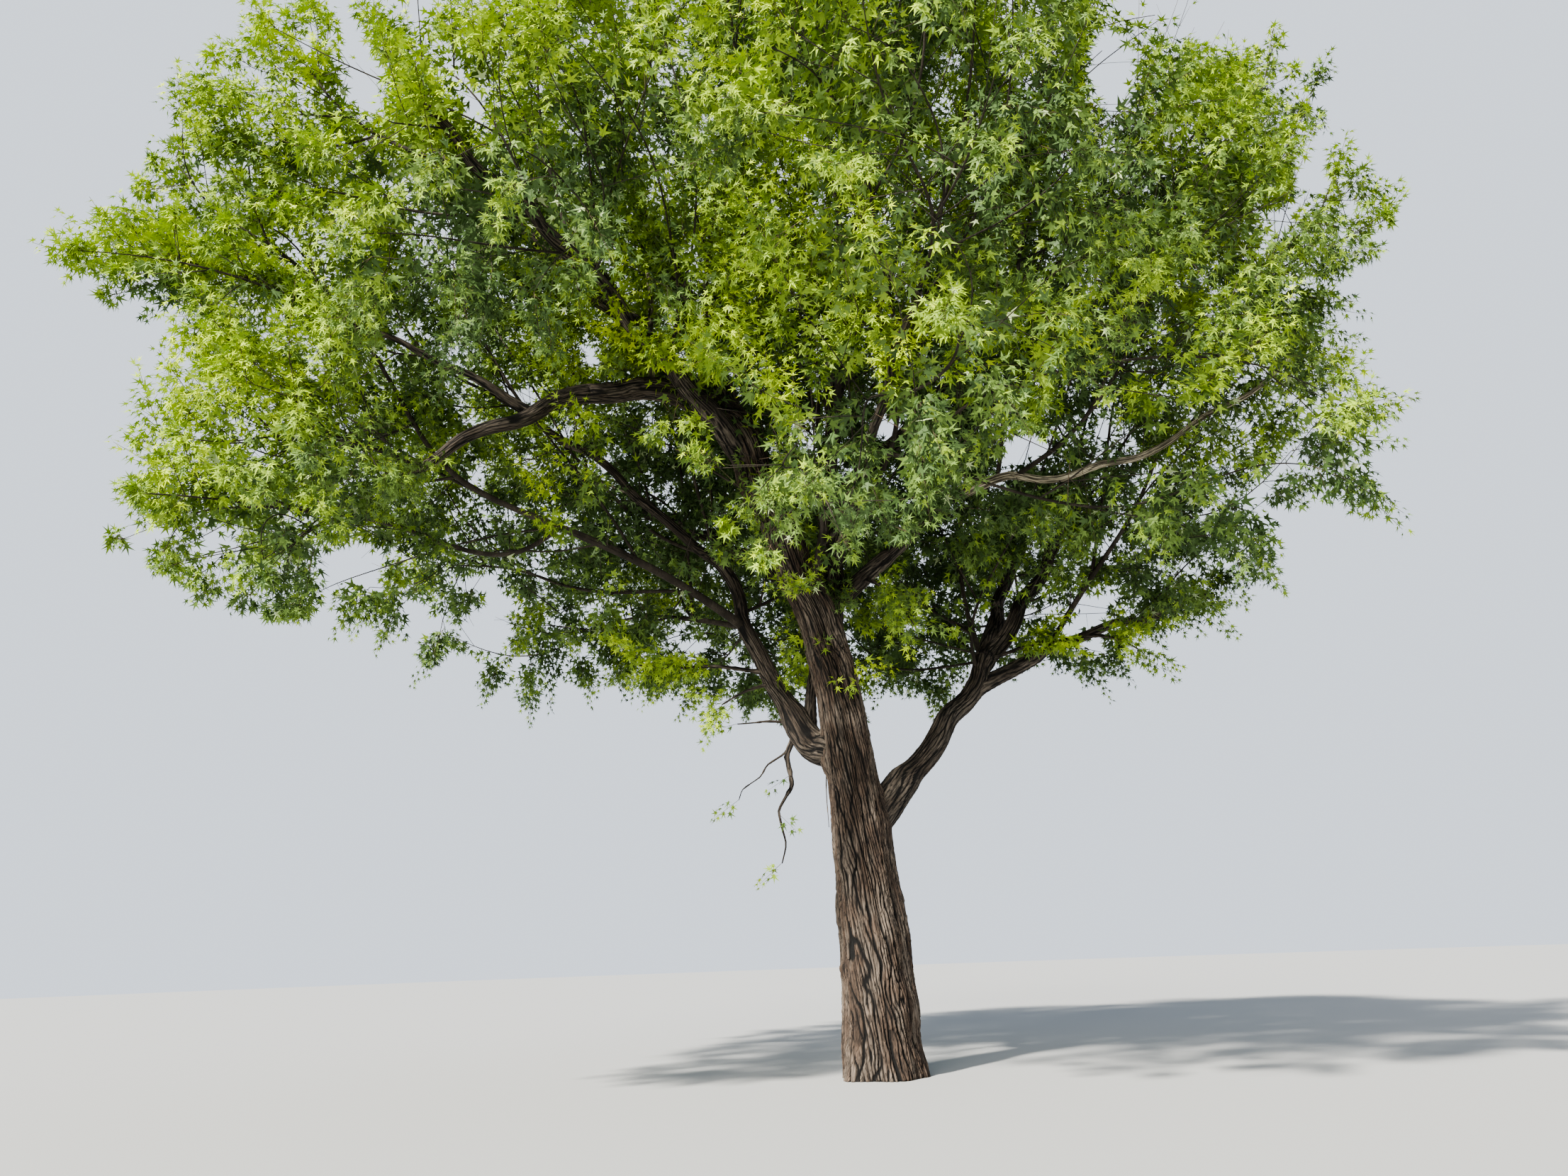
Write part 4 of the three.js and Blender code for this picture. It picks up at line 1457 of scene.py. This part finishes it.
tip = root_count + np.flatnonzero(is_tip)
tip_out = unit(look_up(way_out, points[tip]))
tip_along = unit(points[tip] - points[parent[tip]])
rise = np.clip(tip_out[:, 2:], *RISE_LIMITS)
on_outline = in_plume[look_up(mass_of_cell, points[tip])][:, None]
in_crown = CROWN_ALONG * tip_along + CROWN_OUT * tip_out + (CROWN_UP + CROWN_RISE * rise) * UP
in_outline = OUTLINE_ALONG * tip_along + OUTLINE_OUT * tip_out + OUTLINE_UP * UP
heading = np.where(on_outline, in_outline, in_crown)
heading = unit(heading + LEADER_STRAY * rng.normal(size=tip_out.shape))
bend = np.where((rise > LOW_RISE) | on_outline, BEND_UP, BEND_DOWN) * UP
length = LEADER_LENGTH * rng.uniform(*LEADER_LENGTHS, len(tip))
length = length * np.where(on_outline[:, 0], OUTLINE_SHARE, 1)
leaders = shoots(points[tip], heading, length, bend, LEADER_PAIRS, tip)

proud = rng.uniform(*PROUD, len(tip))
for _ in range(CUT_ROUNDS):
    beyond = -look_up(smooth_depth, along_shoots(leaders, 1.0)) - proud
    beyond = np.where(look_up(smooth_depth, leaders["start"]) > -proud, beyond, 0)
    leaders["length"] = leaders["length"] * np.clip(1 - beyond / leaders["length"], LEAST_KEPT, 1.0)
leaders["pairs"] = pairs_for(LEADER_PAIRS, FEWEST_PAIRS)
print(len(tip), "leaders,", round(float(leaders["length"].mean()), 2), "m long in the mean")

# %% [markdown]
# Side shoots and spurs. Side shoots stand in pairs on the lower half of a leader, each pair turned a quarter
# from the last like the leaves, and they grow shorter towards its tip. The points further in on a branch bear
# only a short spur, and hardly any where the branch is thick.

# %% Side shoots and spurs
# Side shoots in pairs: share of the way along the leader, length as a share of it, and pairs of leaves.
SIDE_SHOOTS = [(0.06, 0.44, 8), (0.20, 0.40, 7), (0.36, 0.32, 6), (0.52, 0.22, 4)]
SIDE_LENGTHS = (0.75, 1.2)
SIDE_AHEAD, SIDE_ASIDE, SIDE_STRAY = 0.72, 0.72, 0.08
SIDE_BEND = 0.6
FEWEST_ON_SIDE = 2
SPUR_LENGTH = 0.36
SPUR_LENGTHS = (0.7, 1.3)
SPUR_ASIDE, SPUR_OUT, SPUR_UP = 0.7, 0.5, 0.2
SPUR_BEND = -0.1
SPUR_PAIRS = 6
BARE_RADIUS = 0.024
SPUR_SHARE_ON_THICK = 0.3

side_sets = []
roll = rng.uniform(0, math.pi, len(tip))
for number, (share, length_share, pairs) in enumerate(SIDE_SHOOTS):
    axis, across, over = shoot_axes(leaders, share)
    for side in (0, 1):
        turn = (roll + number * math.pi / 2 + side * math.pi)[:, None]
        aside = np.cos(turn) * across + np.sin(turn) * over
        heading = SIDE_AHEAD * axis + SIDE_ASIDE * aside + SIDE_STRAY * rng.normal(size=axis.shape)
        length = leaders["length"] * length_share * rng.uniform(*SIDE_LENGTHS, len(tip))
        start = along_shoots(leaders, share)
        on_side = pairs_for(pairs, FEWEST_ON_SIDE)
        side_sets.append(shoots(start, unit(heading), length, SIDE_BEND * bend, on_side, tip))

inner_nodes = np.setdiff1d(np.arange(root_count, len(points)), tip)
thick = branch_radius[inner_nodes] > BARE_RADIUS
inner_nodes = inner_nodes[~thick | (rng.uniform(size=len(thick)) < SPUR_SHARE_ON_THICK)]
node_out = unit(look_up(way_out, points[inner_nodes]))
aside = unit(rng.normal(size=node_out.shape))
heading = unit(SPUR_ASIDE * aside + SPUR_OUT * node_out + SPUR_UP * UP)
length = SPUR_LENGTH * rng.uniform(*SPUR_LENGTHS, len(inner_nodes))
spurs = shoots(points[inner_nodes], heading, length, SPUR_BEND * UP, SPUR_PAIRS, inner_nodes)
print(sum(len(group["start"]) for group in side_sets), "side shoots and", len(inner_nodes), "spurs")

# %% [markdown]
# Sprigs and fringes. Maples also sprout from old bark, most of all near a fork or an old wound. The tables
# say where that shows: single sprigs on the trunk and the bare branches, and fringes of shoots along limbs
# that would else run bare through the crown.

# %% Sprigs and fringes
# Leafy sprigs straight from the bark: limb, share of its length, bearing, length, rise and pairs of leaves.
SPRIGS = [
    ("trunk", 0.815, 292, 0.42, 0.12, 5),
    ("trunk", 0.83, 262, 0.3, 0.1, 3),
    ("trunk", 0.86, 345, 0.6, 0.15, 7),
    ("trunk", 0.88, 325, 0.5, 0.02, 6),
    ("trunk", 0.95, 200, 0.6, 0.1, 7),
    ("trunk", 0.98, 262, 0.35, 0.1, 4),
    ("main_stem", 0.06, 190, 0.6, 0.05, 7),
    ("hanging_branch", 0.45, 200, 0.35, -0.2, 3),
    ("hanging_branch", 0.75, 330, 0.3, -0.25, 3),
    ("hanging_branch", 0.99, 200, 0.4, -0.3, 5),
    ("hanging_arm", 0.98, 190, 0.4, -0.25, 5),
    ("level_arm", 0.98, 180, 0.4, -0.05, 5),
    ("elbow_branch", 0.6, 60, 0.4, 0.2, 5),
    ("elbow_branch", 0.98, 120, 0.5, 0.3, 6),
    ("right_bough", 0.22, 300, 0.35, 0.2, 4),
    ("left_bough", 0.5, 280, 0.35, 0.15, 4),
    ("main_stem", 0.35, 300, 0.4, 0.1, 5),
    ("second_stem", 0.12, 300, 0.4, 0.15, 5),
    ("front_left_bough", 0.29, 285, 0.40, -0.16, 7),
    ("front_left_bough", 0.32, 255, 0.40, -0.10, 7),
    ("front_left_bough", 0.35, 290, 0.45, -0.20, 7),
    ("front_left_bough", 0.38, 262, 0.40, -0.12, 7),
    ("front_left_bough", 0.41, 285, 0.45, -0.18, 7),
    ("front_left_bough", 0.44, 265, 0.40, -0.12, 7),
    ("front_left_bough", 0.47, 280, 0.45, -0.18, 7),
]

# Limbs that bear leafy shoots all along: share of their length where these begin, and how many.
FRINGES = {
    "left_tip_branch": (0.4, 90),
    "arch_riser": (0.35, 12),
    "drooping_branch": (0.35, 14),
    "long_left_branch": (0.4, 20),
    "low_spray_branch": (0.35, 16),
    "fork_spray_branch": (0.5, 6),
    "right_side_branch": (0.35, 14),
    "right_droop_branch": (0.4, 12),
    "left_leader": (0.0, 30),
    "upper_left_bough": (0.05, 20),
    "front_left_bough": (0.0, 34),
    "second_stem": (0.1, 20),
    "right_leader": (0.1, 14),
    "main_stem": (0.35, 8),
    "arch_bough_outer": (0.75, 16),
    "pale_bough": (0.85, 10),
    "front_bough": (0.65, 16),
    "back_right_bough": (0.7, 18),
    "low_right_bough": (0.55, 22),
}
SPRIG_FOOT = 0.9
SPRIG_BEND = -0.08
FRINGE_FOOT = 0.8
FRINGE_LENGTH = 0.62
FRINGE_LENGTHS = (0.75, 1.15)
FRINGE_PAIRS = 9
FRINGE_AHEAD, FRINGE_ASIDE, FRINGE_UP = 0.8, 0.5, 0.15
ROWS_BACK = 4


def table_sprigs():
    """Start, heading, length and pairs of the sprigs in the table. A sprig starts just under the bark."""
    starts, headings = [], []
    for name, share, bearing, length, lift, _ in SPRIGS:
        line, row = place_on(name, share)
        starts.append(line["points"][row] + SPRIG_FOOT * line["radii"][row] * bearing_vector(bearing))
        headings.append(bearing_vector(bearing) + lift / length * UP)
    return np.array(starts), np.array(headings), [s[3] for s in SPRIGS], [s[5] for s in SPRIGS]


def fringe_sprigs(name, first_share, count):
    """The same for a fringe: shoots that lean forward along the limb and to all sides of it."""
    line, first = place_on(name, first_share)
    _, last = place_on(name, 1.0)
    rows = np.linspace(first, last, count).astype(int)
    ahead = unit(line["points"][rows] - line["points"][np.maximum(rows - ROWS_BACK, 0)])
    aside = rng.normal(size=ahead.shape)
    aside = unit(aside - dot(aside, ahead) * ahead)
    starts = line["points"][rows] + FRINGE_FOOT * line["radii"][rows][:, None] * aside
    lengths = FRINGE_LENGTH * rng.uniform(*FRINGE_LENGTHS, count)
    headings = FRINGE_AHEAD * ahead + FRINGE_ASIDE * aside + FRINGE_UP * UP
    return starts, headings, lengths, np.full(count, FRINGE_PAIRS)


sprig_sets = [table_sprigs()] + [fringe_sprigs(name, *values) for name, values in FRINGES.items()]
sprig_columns = [np.concatenate(column) for column in zip(*sprig_sets)]
sprig_starts, sprig_headings, sprig_lengths, sprig_pairs = sprig_columns
sprig_number = len(points) + np.arange(len(sprig_starts))
points = np.concatenate([points, sprig_starts])
sprigs = shoots(sprig_starts, unit(sprig_headings), sprig_lengths, SPRIG_BEND * UP, sprig_pairs, sprig_number)
print(len(sprig_starts), "sprigs, of which", len(SPRIGS), "stand alone")

# %% [markdown]
# The twigs. Shoots whose middle falls inside an opening are taken out, and with a leader goes its whole
# plume, so that no twig is left standing on nothing. What stays gets the thinnest tubes that still catch the
# light: three corners round, and only the leaders have rings between their ends, because only they are long
# enough for their curve to show. Before the leaves are dealt out the openings are tried once more, so a twig
# at an edge may stay bare.

# %% The twigs
TWIG_SIDES = 3
TWIG_TAPER = 0.6

# Columns: name, shares of the way along a shoot at which it has a ring, and radius at its foot.
TWIG_PIECES = [("leader_twigs", [0.0, 0.35, 0.7, 1.0], 0.005), ("small_twigs", [0.0, 1.0], 0.0032)]


def joined(groups, bare=()):
    """Several sets of shoots as one, without those whose middle falls inside an opening and without
    those of a bare plume, one that has lost its leader."""
    whole = {key: np.concatenate([group[key] for group in groups]) for key in groups[0]}
    keep = ~in_opening(along_shoots(whole, 0.5)) & ~np.isin(whole["plume"], bare)
    return {key: values[keep] for key, values in whole.items()}


leaders = joined([leaders])
small_shoots = joined(side_sets + [spurs, sprigs], np.setdiff1d(tip, leaders["plume"]))
twig_triangles = 0
for (name, shares, thickness), group in zip(TWIG_PIECES, (leaders, small_shoots)):
    paths = np.stack([along_shoots(group, share) for share in shares], axis=1)
    radii = thickness * (1 - TWIG_TAPER * np.array(shares))
    tubes = tube_points(paths, np.tile(radii, (len(paths), 1)), TWIG_SIDES)
    quads, caps = tube_faces(len(paths), len(shares), TWIG_SIDES)
    faces = [(quads, 0, True), (caps, 0, False)]
    _, triangles = make_piece(name, tubes, faces, [bark["twig bark"]])
    twig_triangles += triangles
all_shoots = joined([leaders, small_shoots])
print(len(leaders["start"]), "plumes of", len(all_shoots["start"]), "shoots")
print("twigs", twig_triangles, "triangles")

# %% [markdown]
# Leaves. A silver maple leaf is cut deeply into five narrow pointed lobes and hangs from a long thin stalk.
# A leaf is a star of slender triangles, one for each lobe, whose feet lie over each other at the heart of the
# blade, and one more triangle for the stalk. Deep in the crown, where a leaf is little more than a speck of
# shade, three lobes do, somewhat larger.

# %% Leaf outlines
STALK_HALF_WIDTH = 0.018
STALK_HEIGHT = 0.06
STALK_LIFT = 0.02
HEART = 0.24
HEART_LIFT = 0.04

# Lobes: degrees from the midrib, length from the heart, half width, how far the foot lies behind the heart,
# and droop of the tip.
FIVE_LOBES = [
    (-106, 0.52, 0.095, 0.10, 0.10), (-50, 0.76, 0.125, 0.12, 0.18), (0, 0.84, 0.14, 0.22, 0.22),
    (50, 0.76, 0.125, 0.12, 0.18), (106, 0.52, 0.095, 0.10, 0.10),
]
THREE_LOBES = [(-58, 0.72, 0.19, 0.14, 0.12), (0, 0.84, 0.19, 0.22, 0.20), (58, 0.72, 0.19, 0.14, 0.12)]


def star_leaf(lobes, with_stalk):
    """The corners of a leaf in its own plane, across, along and lift: for each lobe its two feet, half a
    width to each side behind the heart, and its tip. The last corner of the stalk is put on the twig."""
    corners = []
    for degrees, length, half, behind, droop in lobes:
        way = np.array([math.sin(math.radians(degrees)), math.cos(math.radians(degrees))])
        beside = np.array([way[1], -way[0]])
        foot = np.array([0, HEART]) - behind * way
        tip_place = np.array([0, HEART]) + length * way
        corners.append((*(foot - half * beside), HEART_LIFT))
        corners.append((*(foot + half * beside), HEART_LIFT))
        corners.append((*tip_place, -droop))
    if with_stalk:
        for side in (-STALK_HALF_WIDTH, STALK_HALF_WIDTH):
            corners.append((side, STALK_HEIGHT, STALK_LIFT))
        corners.append((0, 0, 0))
    return np.array(corners)


fine_leaf = star_leaf(FIVE_LOBES, True)
plain_leaf = star_leaf(THREE_LOBES, False)
print("a fine leaf has", len(fine_leaf) // 3, "triangles, a plain one", len(plain_leaf) // 3)

# %% [markdown]
# Leaves stand on the shoot in opposite pairs, each pair turned a quarter from the last, and they grow smaller
# towards its tip. Repeating each shoot's number as often as it has leaves gives every leaf a row of its own,
# and from then on all of them are worked out together.

# %% Where each leaf leaves its shoot
LEAF_LENGTH = 0.122
LEAF_LENGTHS = (0.8, 1.15)
FIRST_SIZE = 1.1
SIZE_LOSS = 0.42
FIRST_PAIR = 0.8
PAIR_STRAY = 0.2
PAST_LAST_PAIR = 0.1
SPIN_STRAY = 0.3

pairs = all_shoots["pairs"]
leaf_shoot = np.repeat(np.arange(len(pairs)), pairs * 2)
first_leaf = np.concatenate([[0], np.cumsum(pairs * 2)[:-1]])
leaf_number = np.arange(len(leaf_shoot)) - first_leaf[leaf_shoot]
leaf_pair = leaf_number // 2
leaf_place = leaf_pair + FIRST_PAIR + rng.uniform(-PAIR_STRAY, PAIR_STRAY, len(leaf_pair))
leaf_share = np.minimum(leaf_place / (pairs[leaf_shoot] - PAST_LAST_PAIR), 1.0)
of_leaf = {key: values[leaf_shoot] for key, values in all_shoots.items()}
leaf_foot = along_shoots(of_leaf, leaf_share)
leaf_axis, across_axis, over_axis = shoot_axes(of_leaf, leaf_share)
spin = rng.uniform(0, 2 * math.pi, len(pairs))[leaf_shoot] + leaf_pair * math.pi / 2
spin = (spin + (leaf_number % 2) * math.pi + rng.normal(0, SPIN_STRAY, len(spin)))[:, None]
outward = np.cos(spin) * across_axis + np.sin(spin) * over_axis
size = LEAF_LENGTH * (FIRST_SIZE - SIZE_LOSS * leaf_share ** 2) * rng.uniform(*LEAF_LENGTHS, len(spin))
print(len(leaf_shoot), "leaves on", len(pairs), "shoots")

# %% [markdown]
# The stalk holds the blade away from the twig, and the blade hangs from its end. The youngest leaves, at the
# tip of a shoot, still point along it, and older ones have opened outwards and droop. A blade turns its face
# up and out to the light, but never exactly, and that scatter is what makes a crown glitter.

# %% The way each leaf hangs
STALK_SHARE = 0.6
STALK_OUT, STALK_UP = 0.85, 0.1
STALK_LENGTHS = (0.7, 1.2)
BLADE_STRAY = 0.26
FACE_UP, FACE_OUT, FACE_STRAY = 0.8, 0.7, 0.45

# For the oldest leaf, and how much the youngest differs from it.
STALK_AHEAD = (0.5, 0.4)
BLADE_OUT = (0.7, -0.25)
BLADE_AHEAD = (0.4, 0.5)
BLADE_DROP = (0.55, -0.3)


def by_age(values):
    """The oldest leaf's value + youth * the difference of the youngest."""
    oldest, difference = values
    return oldest + difference * young


young = leaf_share[:, None] ** 2
stalk_way = unit(STALK_OUT * outward + by_age(STALK_AHEAD) * leaf_axis + STALK_UP * UP)
stalk_length = STALK_SHARE * size * rng.uniform(*STALK_LENGTHS, len(spin))
leaf_base = leaf_foot + stalk_way * stalk_length[:, None]
stray = rng.normal(size=leaf_base.shape)
leaf_way = by_age(BLADE_OUT) * outward + by_age(BLADE_AHEAD) * leaf_axis
leaf_way = unit(leaf_way - by_age(BLADE_DROP) * UP + BLADE_STRAY * stray)
leaf_depth = look_up(smooth_depth, leaf_base)
leaf_out = unit(look_up(way_out, leaf_base))
leaf_up = FACE_UP * UP + FACE_OUT * leaf_out + FACE_STRAY * rng.normal(size=leaf_base.shape)
leaf_up = unit(leaf_up - dot(leaf_up, leaf_way) * leaf_way)
leaf_across = np.cross(leaf_way, leaf_up)
shown = ~in_opening(leaf_base)
print(int((~shown).sum()), "leaves left out of the openings")

# %% [markdown]
# Colour. The colours of the leaves hold painted light and shade. A leaf whose way out faces the key sun is
# dealt a brighter yellow green, as painted light, and one that lies deep in the crown a darker green, as
# painted shade. Young leaves at the tips of shoots are the most yellow, every plume gets a tone of its own,
# and every leaf takes the nearest of a few plain colours. A few leaves turn their pale underside up.
# Plain colours in several materials keep the whole crown easy to recolour.

# %% Leaf colours dealt out by spray, with painted light and shade
LIGHT_WAY = unit(np.array([-0.46, -0.62, 0.63]))
LEAF_COLOURS = {
    "leaf_gold": (0.52, 0.66, 0.06),
    "leaf_bright": (0.39, 0.54, 0.06),
    "leaf_light": (0.275, 0.395, 0.06),
    "leaf_mid": (0.165, 0.255, 0.066),
    "leaf_deep": (0.082, 0.136, 0.047),
    "leaf_silver": (0.46, 0.55, 0.30),
}
LEAF_ROUGHNESS = 0.5
LEAF_SHINE = 0.15
TONE_STEPS = [-0.55, -0.3, 0.0, 0.35]
# Painted light and shade in a leaf's tone: a share for facing the key sun, and a share of darkening with
# depth.
PAINTED_LIGHT_TONE = 0.45
PAINTED_SHADE_TONE = 0.26
DEPTH_IN_LIGHT = 0.4
DEPTH_TO_DARKEST = 2.5
PLUME_TONE = 0.14
SPRIG_TONE = 0.3
YOUNG_TONE = 0.3
LEAF_TONE = 0.17
SILVER_SHARE = 0.012


def plain(name, colour, roughness, specular):
    """A material of one colour, kept on the shader's own sockets."""
    material = bpy.data.materials.new(name)
    material.use_nodes = True
    shader = material.node_tree.nodes["Principled BSDF"]
    shader.inputs["Base Color"].default_value = (*colour, 1.0)
    shader.inputs["Roughness"].default_value = roughness
    shader.inputs["Specular IOR Level"].default_value = specular
    return material


leaf_finishes = [plain(name, colour, LEAF_ROUGHNESS, LEAF_SHINE) for name, colour in LEAF_COLOURS.items()]
silver = list(LEAF_COLOURS).index("leaf_silver")
plume_tone = PLUME_TONE * rng.normal(size=len(points))
plume_tone[sprig_number] += SPRIG_TONE
# Painted shade: deeper leaves get darker colours. Painted light: leaves that face the key sun get brighter
# ones.
shade = PAINTED_SHADE_TONE * np.clip(leaf_depth - DEPTH_IN_LIGHT, 0, DEPTH_TO_DARKEST)
tone = PAINTED_LIGHT_TONE * (leaf_out @ LIGHT_WAY) - shade + plume_tone[of_leaf["plume"]]
tone += YOUNG_TONE * (leaf_share - 0.5) + LEAF_TONE * rng.normal(size=len(tone))
leaf_colour = np.digitize(-tone, TONE_STEPS)
leaf_colour = np.where(rng.uniform(size=len(tone)) < SILVER_SHARE, silver, leaf_colour)
print("leaves of each colour:", dict(zip(LEAF_COLOURS, np.bincount(leaf_colour[shown]).tolist())))

# %% [markdown]
# The leaf pieces. Two hundred thousand single leaves would be far too many objects, so all leaves of one ring
# of the crown become one mesh, or two or more where a ring has very many, and each face keeps the number of
# its colour. A leaf goes with the ring in which its plume starts. Only near the outside does it get all its
# lobes and its stalk.

# %% The leaf pieces
GROUPS = RING_NAMES + ["plumes"]
MOST_TRIANGLES = 190000
FINE_DEPTH = 0.38
INNER_SIZE = 1.1


def leaves_of(chosen, corners, scale):
    """Base + size * (across * x + along * y + lift * z) for each corner, and the stalk's end on the twig."""
    place = (
        corners[None, :, :1] * leaf_across[chosen][:, None]
        + corners[None, :, 1:2] * leaf_way[chosen][:, None]
        + corners[None, :, 2:] * leaf_up[chosen][:, None]
    )
    place = leaf_base[chosen][:, None] + scale * size[chosen][:, None, None] * place
    if len(corners) == len(fine_leaf):
        place[:, -1] = leaf_foot[chosen]
    return place.reshape(-1, 3)


def group_of(name):
    """The ring that a mass belongs to, or the plumes."""
    ring = name.split("_")[0]
    return ring if ring in GROUPS else "plumes"


def share_out(rows, part, parts):
    """One of several parts of about the same size."""
    return rows[len(rows) * part // parts:len(rows) * (part + 1) // parts]


def leaf_piece(name, five, three, nodes):
    """The five-lobed and the three-lobed leaves of one piece, each face with its leaf's colour."""
    corners = np.concatenate([leaves_of(five, fine_leaf, 1.0), leaves_of(three, plain_leaf, INNER_SIZE)])
    colours = np.concatenate([
        np.repeat(leaf_colour[five], len(fine_leaf) // 3),
        np.repeat(leaf_colour[three], len(plain_leaf) // 3),
    ])
    faces = [(np.arange(len(corners)).reshape(-1, 3), colours, False)]
    return make_piece(name, corners, faces, leaf_finishes, nodes)[1]


# Plumes that start in no mass go with the middle ring.
mass_group = np.array([GROUPS.index(group_of(name)) for name in masses] + [GROUPS.index("middle")])
leaf_group = mass_group[look_up(mass_of_cell, points)[of_leaf["plume"]]]
is_fine = leaf_depth < FINE_DEPTH
leaf_triangles = 0
for number, group in enumerate(GROUPS):
    members = [name for name in masses if group_of(name) == group]
    mine = (leaf_group == number) & shown
    five = np.flatnonzero(mine & is_fine)
    three = np.flatnonzero(mine & ~is_fine)
    total = (len(five) * len(fine_leaf) + len(three) * len(plain_leaf)) // 3
    parts = math.ceil(total / MOST_TRIANGLES)
    for part in range(parts):
        shares = [share_out(rows, part, parts) for rows in (five, three)]
        leaf_triangles += leaf_piece(f"leaves_{group}_{part + 1}", *shares, members if part == 0 else ())
print(int(shown.sum()), "leaves of", leaf_triangles, "triangles")

# %% [markdown]
# The floor. The tree stands on an even pale floor that runs out to the horizon, a disc with many corners a
# hair below the foot of the trunk, so the two never share a plane.

# %% Floor
FLOOR_RADIUS = 150
FLOOR_CORNERS = 96
FLOOR_HEIGHT = -0.002
FLOOR_COLOUR = (0.50, 0.50, 0.49)
FLOOR_ROUGHNESS = 0.9
FLOOR_SHINE = 0.2

floor_mesh = bpy.data.meshes.new("floor")
angle = np.linspace(0, 2 * math.pi, FLOOR_CORNERS, endpoint=False)
height = np.full(FLOOR_CORNERS, FLOOR_HEIGHT)
rim = np.stack([FLOOR_RADIUS * np.cos(angle), FLOOR_RADIUS * np.sin(angle), height], axis=1)
floor_mesh.from_pydata(rim.tolist(), [], [list(range(FLOOR_CORNERS))])
floor = bpy.data.objects.new("floor", floor_mesh)
bpy.context.scene.collection.objects.link(floor)
floor_mesh.materials.append(plain("floor", FLOOR_COLOUR, FLOOR_ROUGHNESS, FLOOR_SHINE))
floor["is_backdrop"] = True
print("a floor", 2 * FLOOR_RADIUS, "m across")

# %% [markdown]
# Light. The tree stands in full sun, and a much weaker and bluer light comes in from all sides, which keeps
# the shaded leaves from going black. What the camera sees behind the tree should be bright all the same,
# because light that breaks through a crown is the brightest thing in it. The Light Path node tells a ray that
# comes from the camera from all others, so the backdrop and the light all round can have strengths of their
# own.

# %% Light from all round
SEEN_COLOUR, SEEN_STRENGTH = (0.83, 0.90, 1.0, 1.0), 1.1
SURROUND_COLOUR, SURROUND_STRENGTH = (0.72, 0.84, 1.0, 1.0), 0.52

world = bpy.data.worlds.new("studio")
bpy.context.scene.world = world
world.use_nodes = True
tree = world.node_tree
seen = tree.nodes["Background"]
seen.inputs["Color"].default_value = SEEN_COLOUR
seen.inputs["Strength"].default_value = SEEN_STRENGTH
surround = add_node(tree, "ShaderNodeBackground", Color=SURROUND_COLOUR, Strength=SURROUND_STRENGTH)
either = add_node(tree, "ShaderNodeMixShader")
ray = add_node(tree, "ShaderNodeLightPath")
tree.links.new(ray.outputs["Is Camera Ray"], either.inputs["Fac"])
tree.links.new(surround.outputs[0], either.inputs[1])
tree.links.new(seen.outputs[0], either.inputs[2])
tree.links.new(either.outputs[0], tree.nodes["World Output"].inputs["Surface"])
print("the backdrop is", round(SEEN_STRENGTH / SURROUND_STRENGTH, 1), "times as strong as its light")

# %% [markdown]
# Two suns. The strong one stands behind the camera on the left, nearly half-way up to overhead. It is warm
# and small, so leaves cast sharp shadows on each other. The weak one stands low behind the camera and is
# wide, in place of the light that sunlit ground throws back under the crown.

# %% Suns
# Columns: name, the way to it, strength, degrees across and colour.
SUNS = [
    ("key", LIGHT_WAY, 8.6, 3, (1.0, 0.96, 0.88)),
    ("fill", unit(np.array([-0.25, -0.85, 0.32])), 1.5, 25, (1.0, 0.97, 0.92)),
]


def add_sun(name, way, energy, degrees, colour):
    """A lamp whose light comes from the given way: its third axis points there."""
    data = bpy.data.lights.new(name, "SUN")
    data.energy = energy
    data.angle = math.radians(degrees)
    data.color = colour
    lamp = bpy.data.objects.new(name, data)
    bpy.context.scene.collection.objects.link(lamp)
    axes = np.eye(4)
    axes[:3, 0] = unit(np.cross(UP, way))
    axes[:3, 1] = np.cross(way, axes[:3, 0])
    axes[:3, 2] = way
    lamp.matrix_world = Matrix(axes.tolist())


for sun in SUNS:
    add_sun(*sun)
bpy.context.scene.view_settings.look = "AgX - Medium High Contrast"
print(len(SUNS), "suns")

# %% [markdown]
# Last, the size. The corners of the finished tree are printed here, and those of the loaded model were
# printed at the start, so that it is easy to see how far the leaves stand out from the masses that they fill.

# %% Size and finish
low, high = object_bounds()
print("made from", tuple(low), "to", tuple(high))
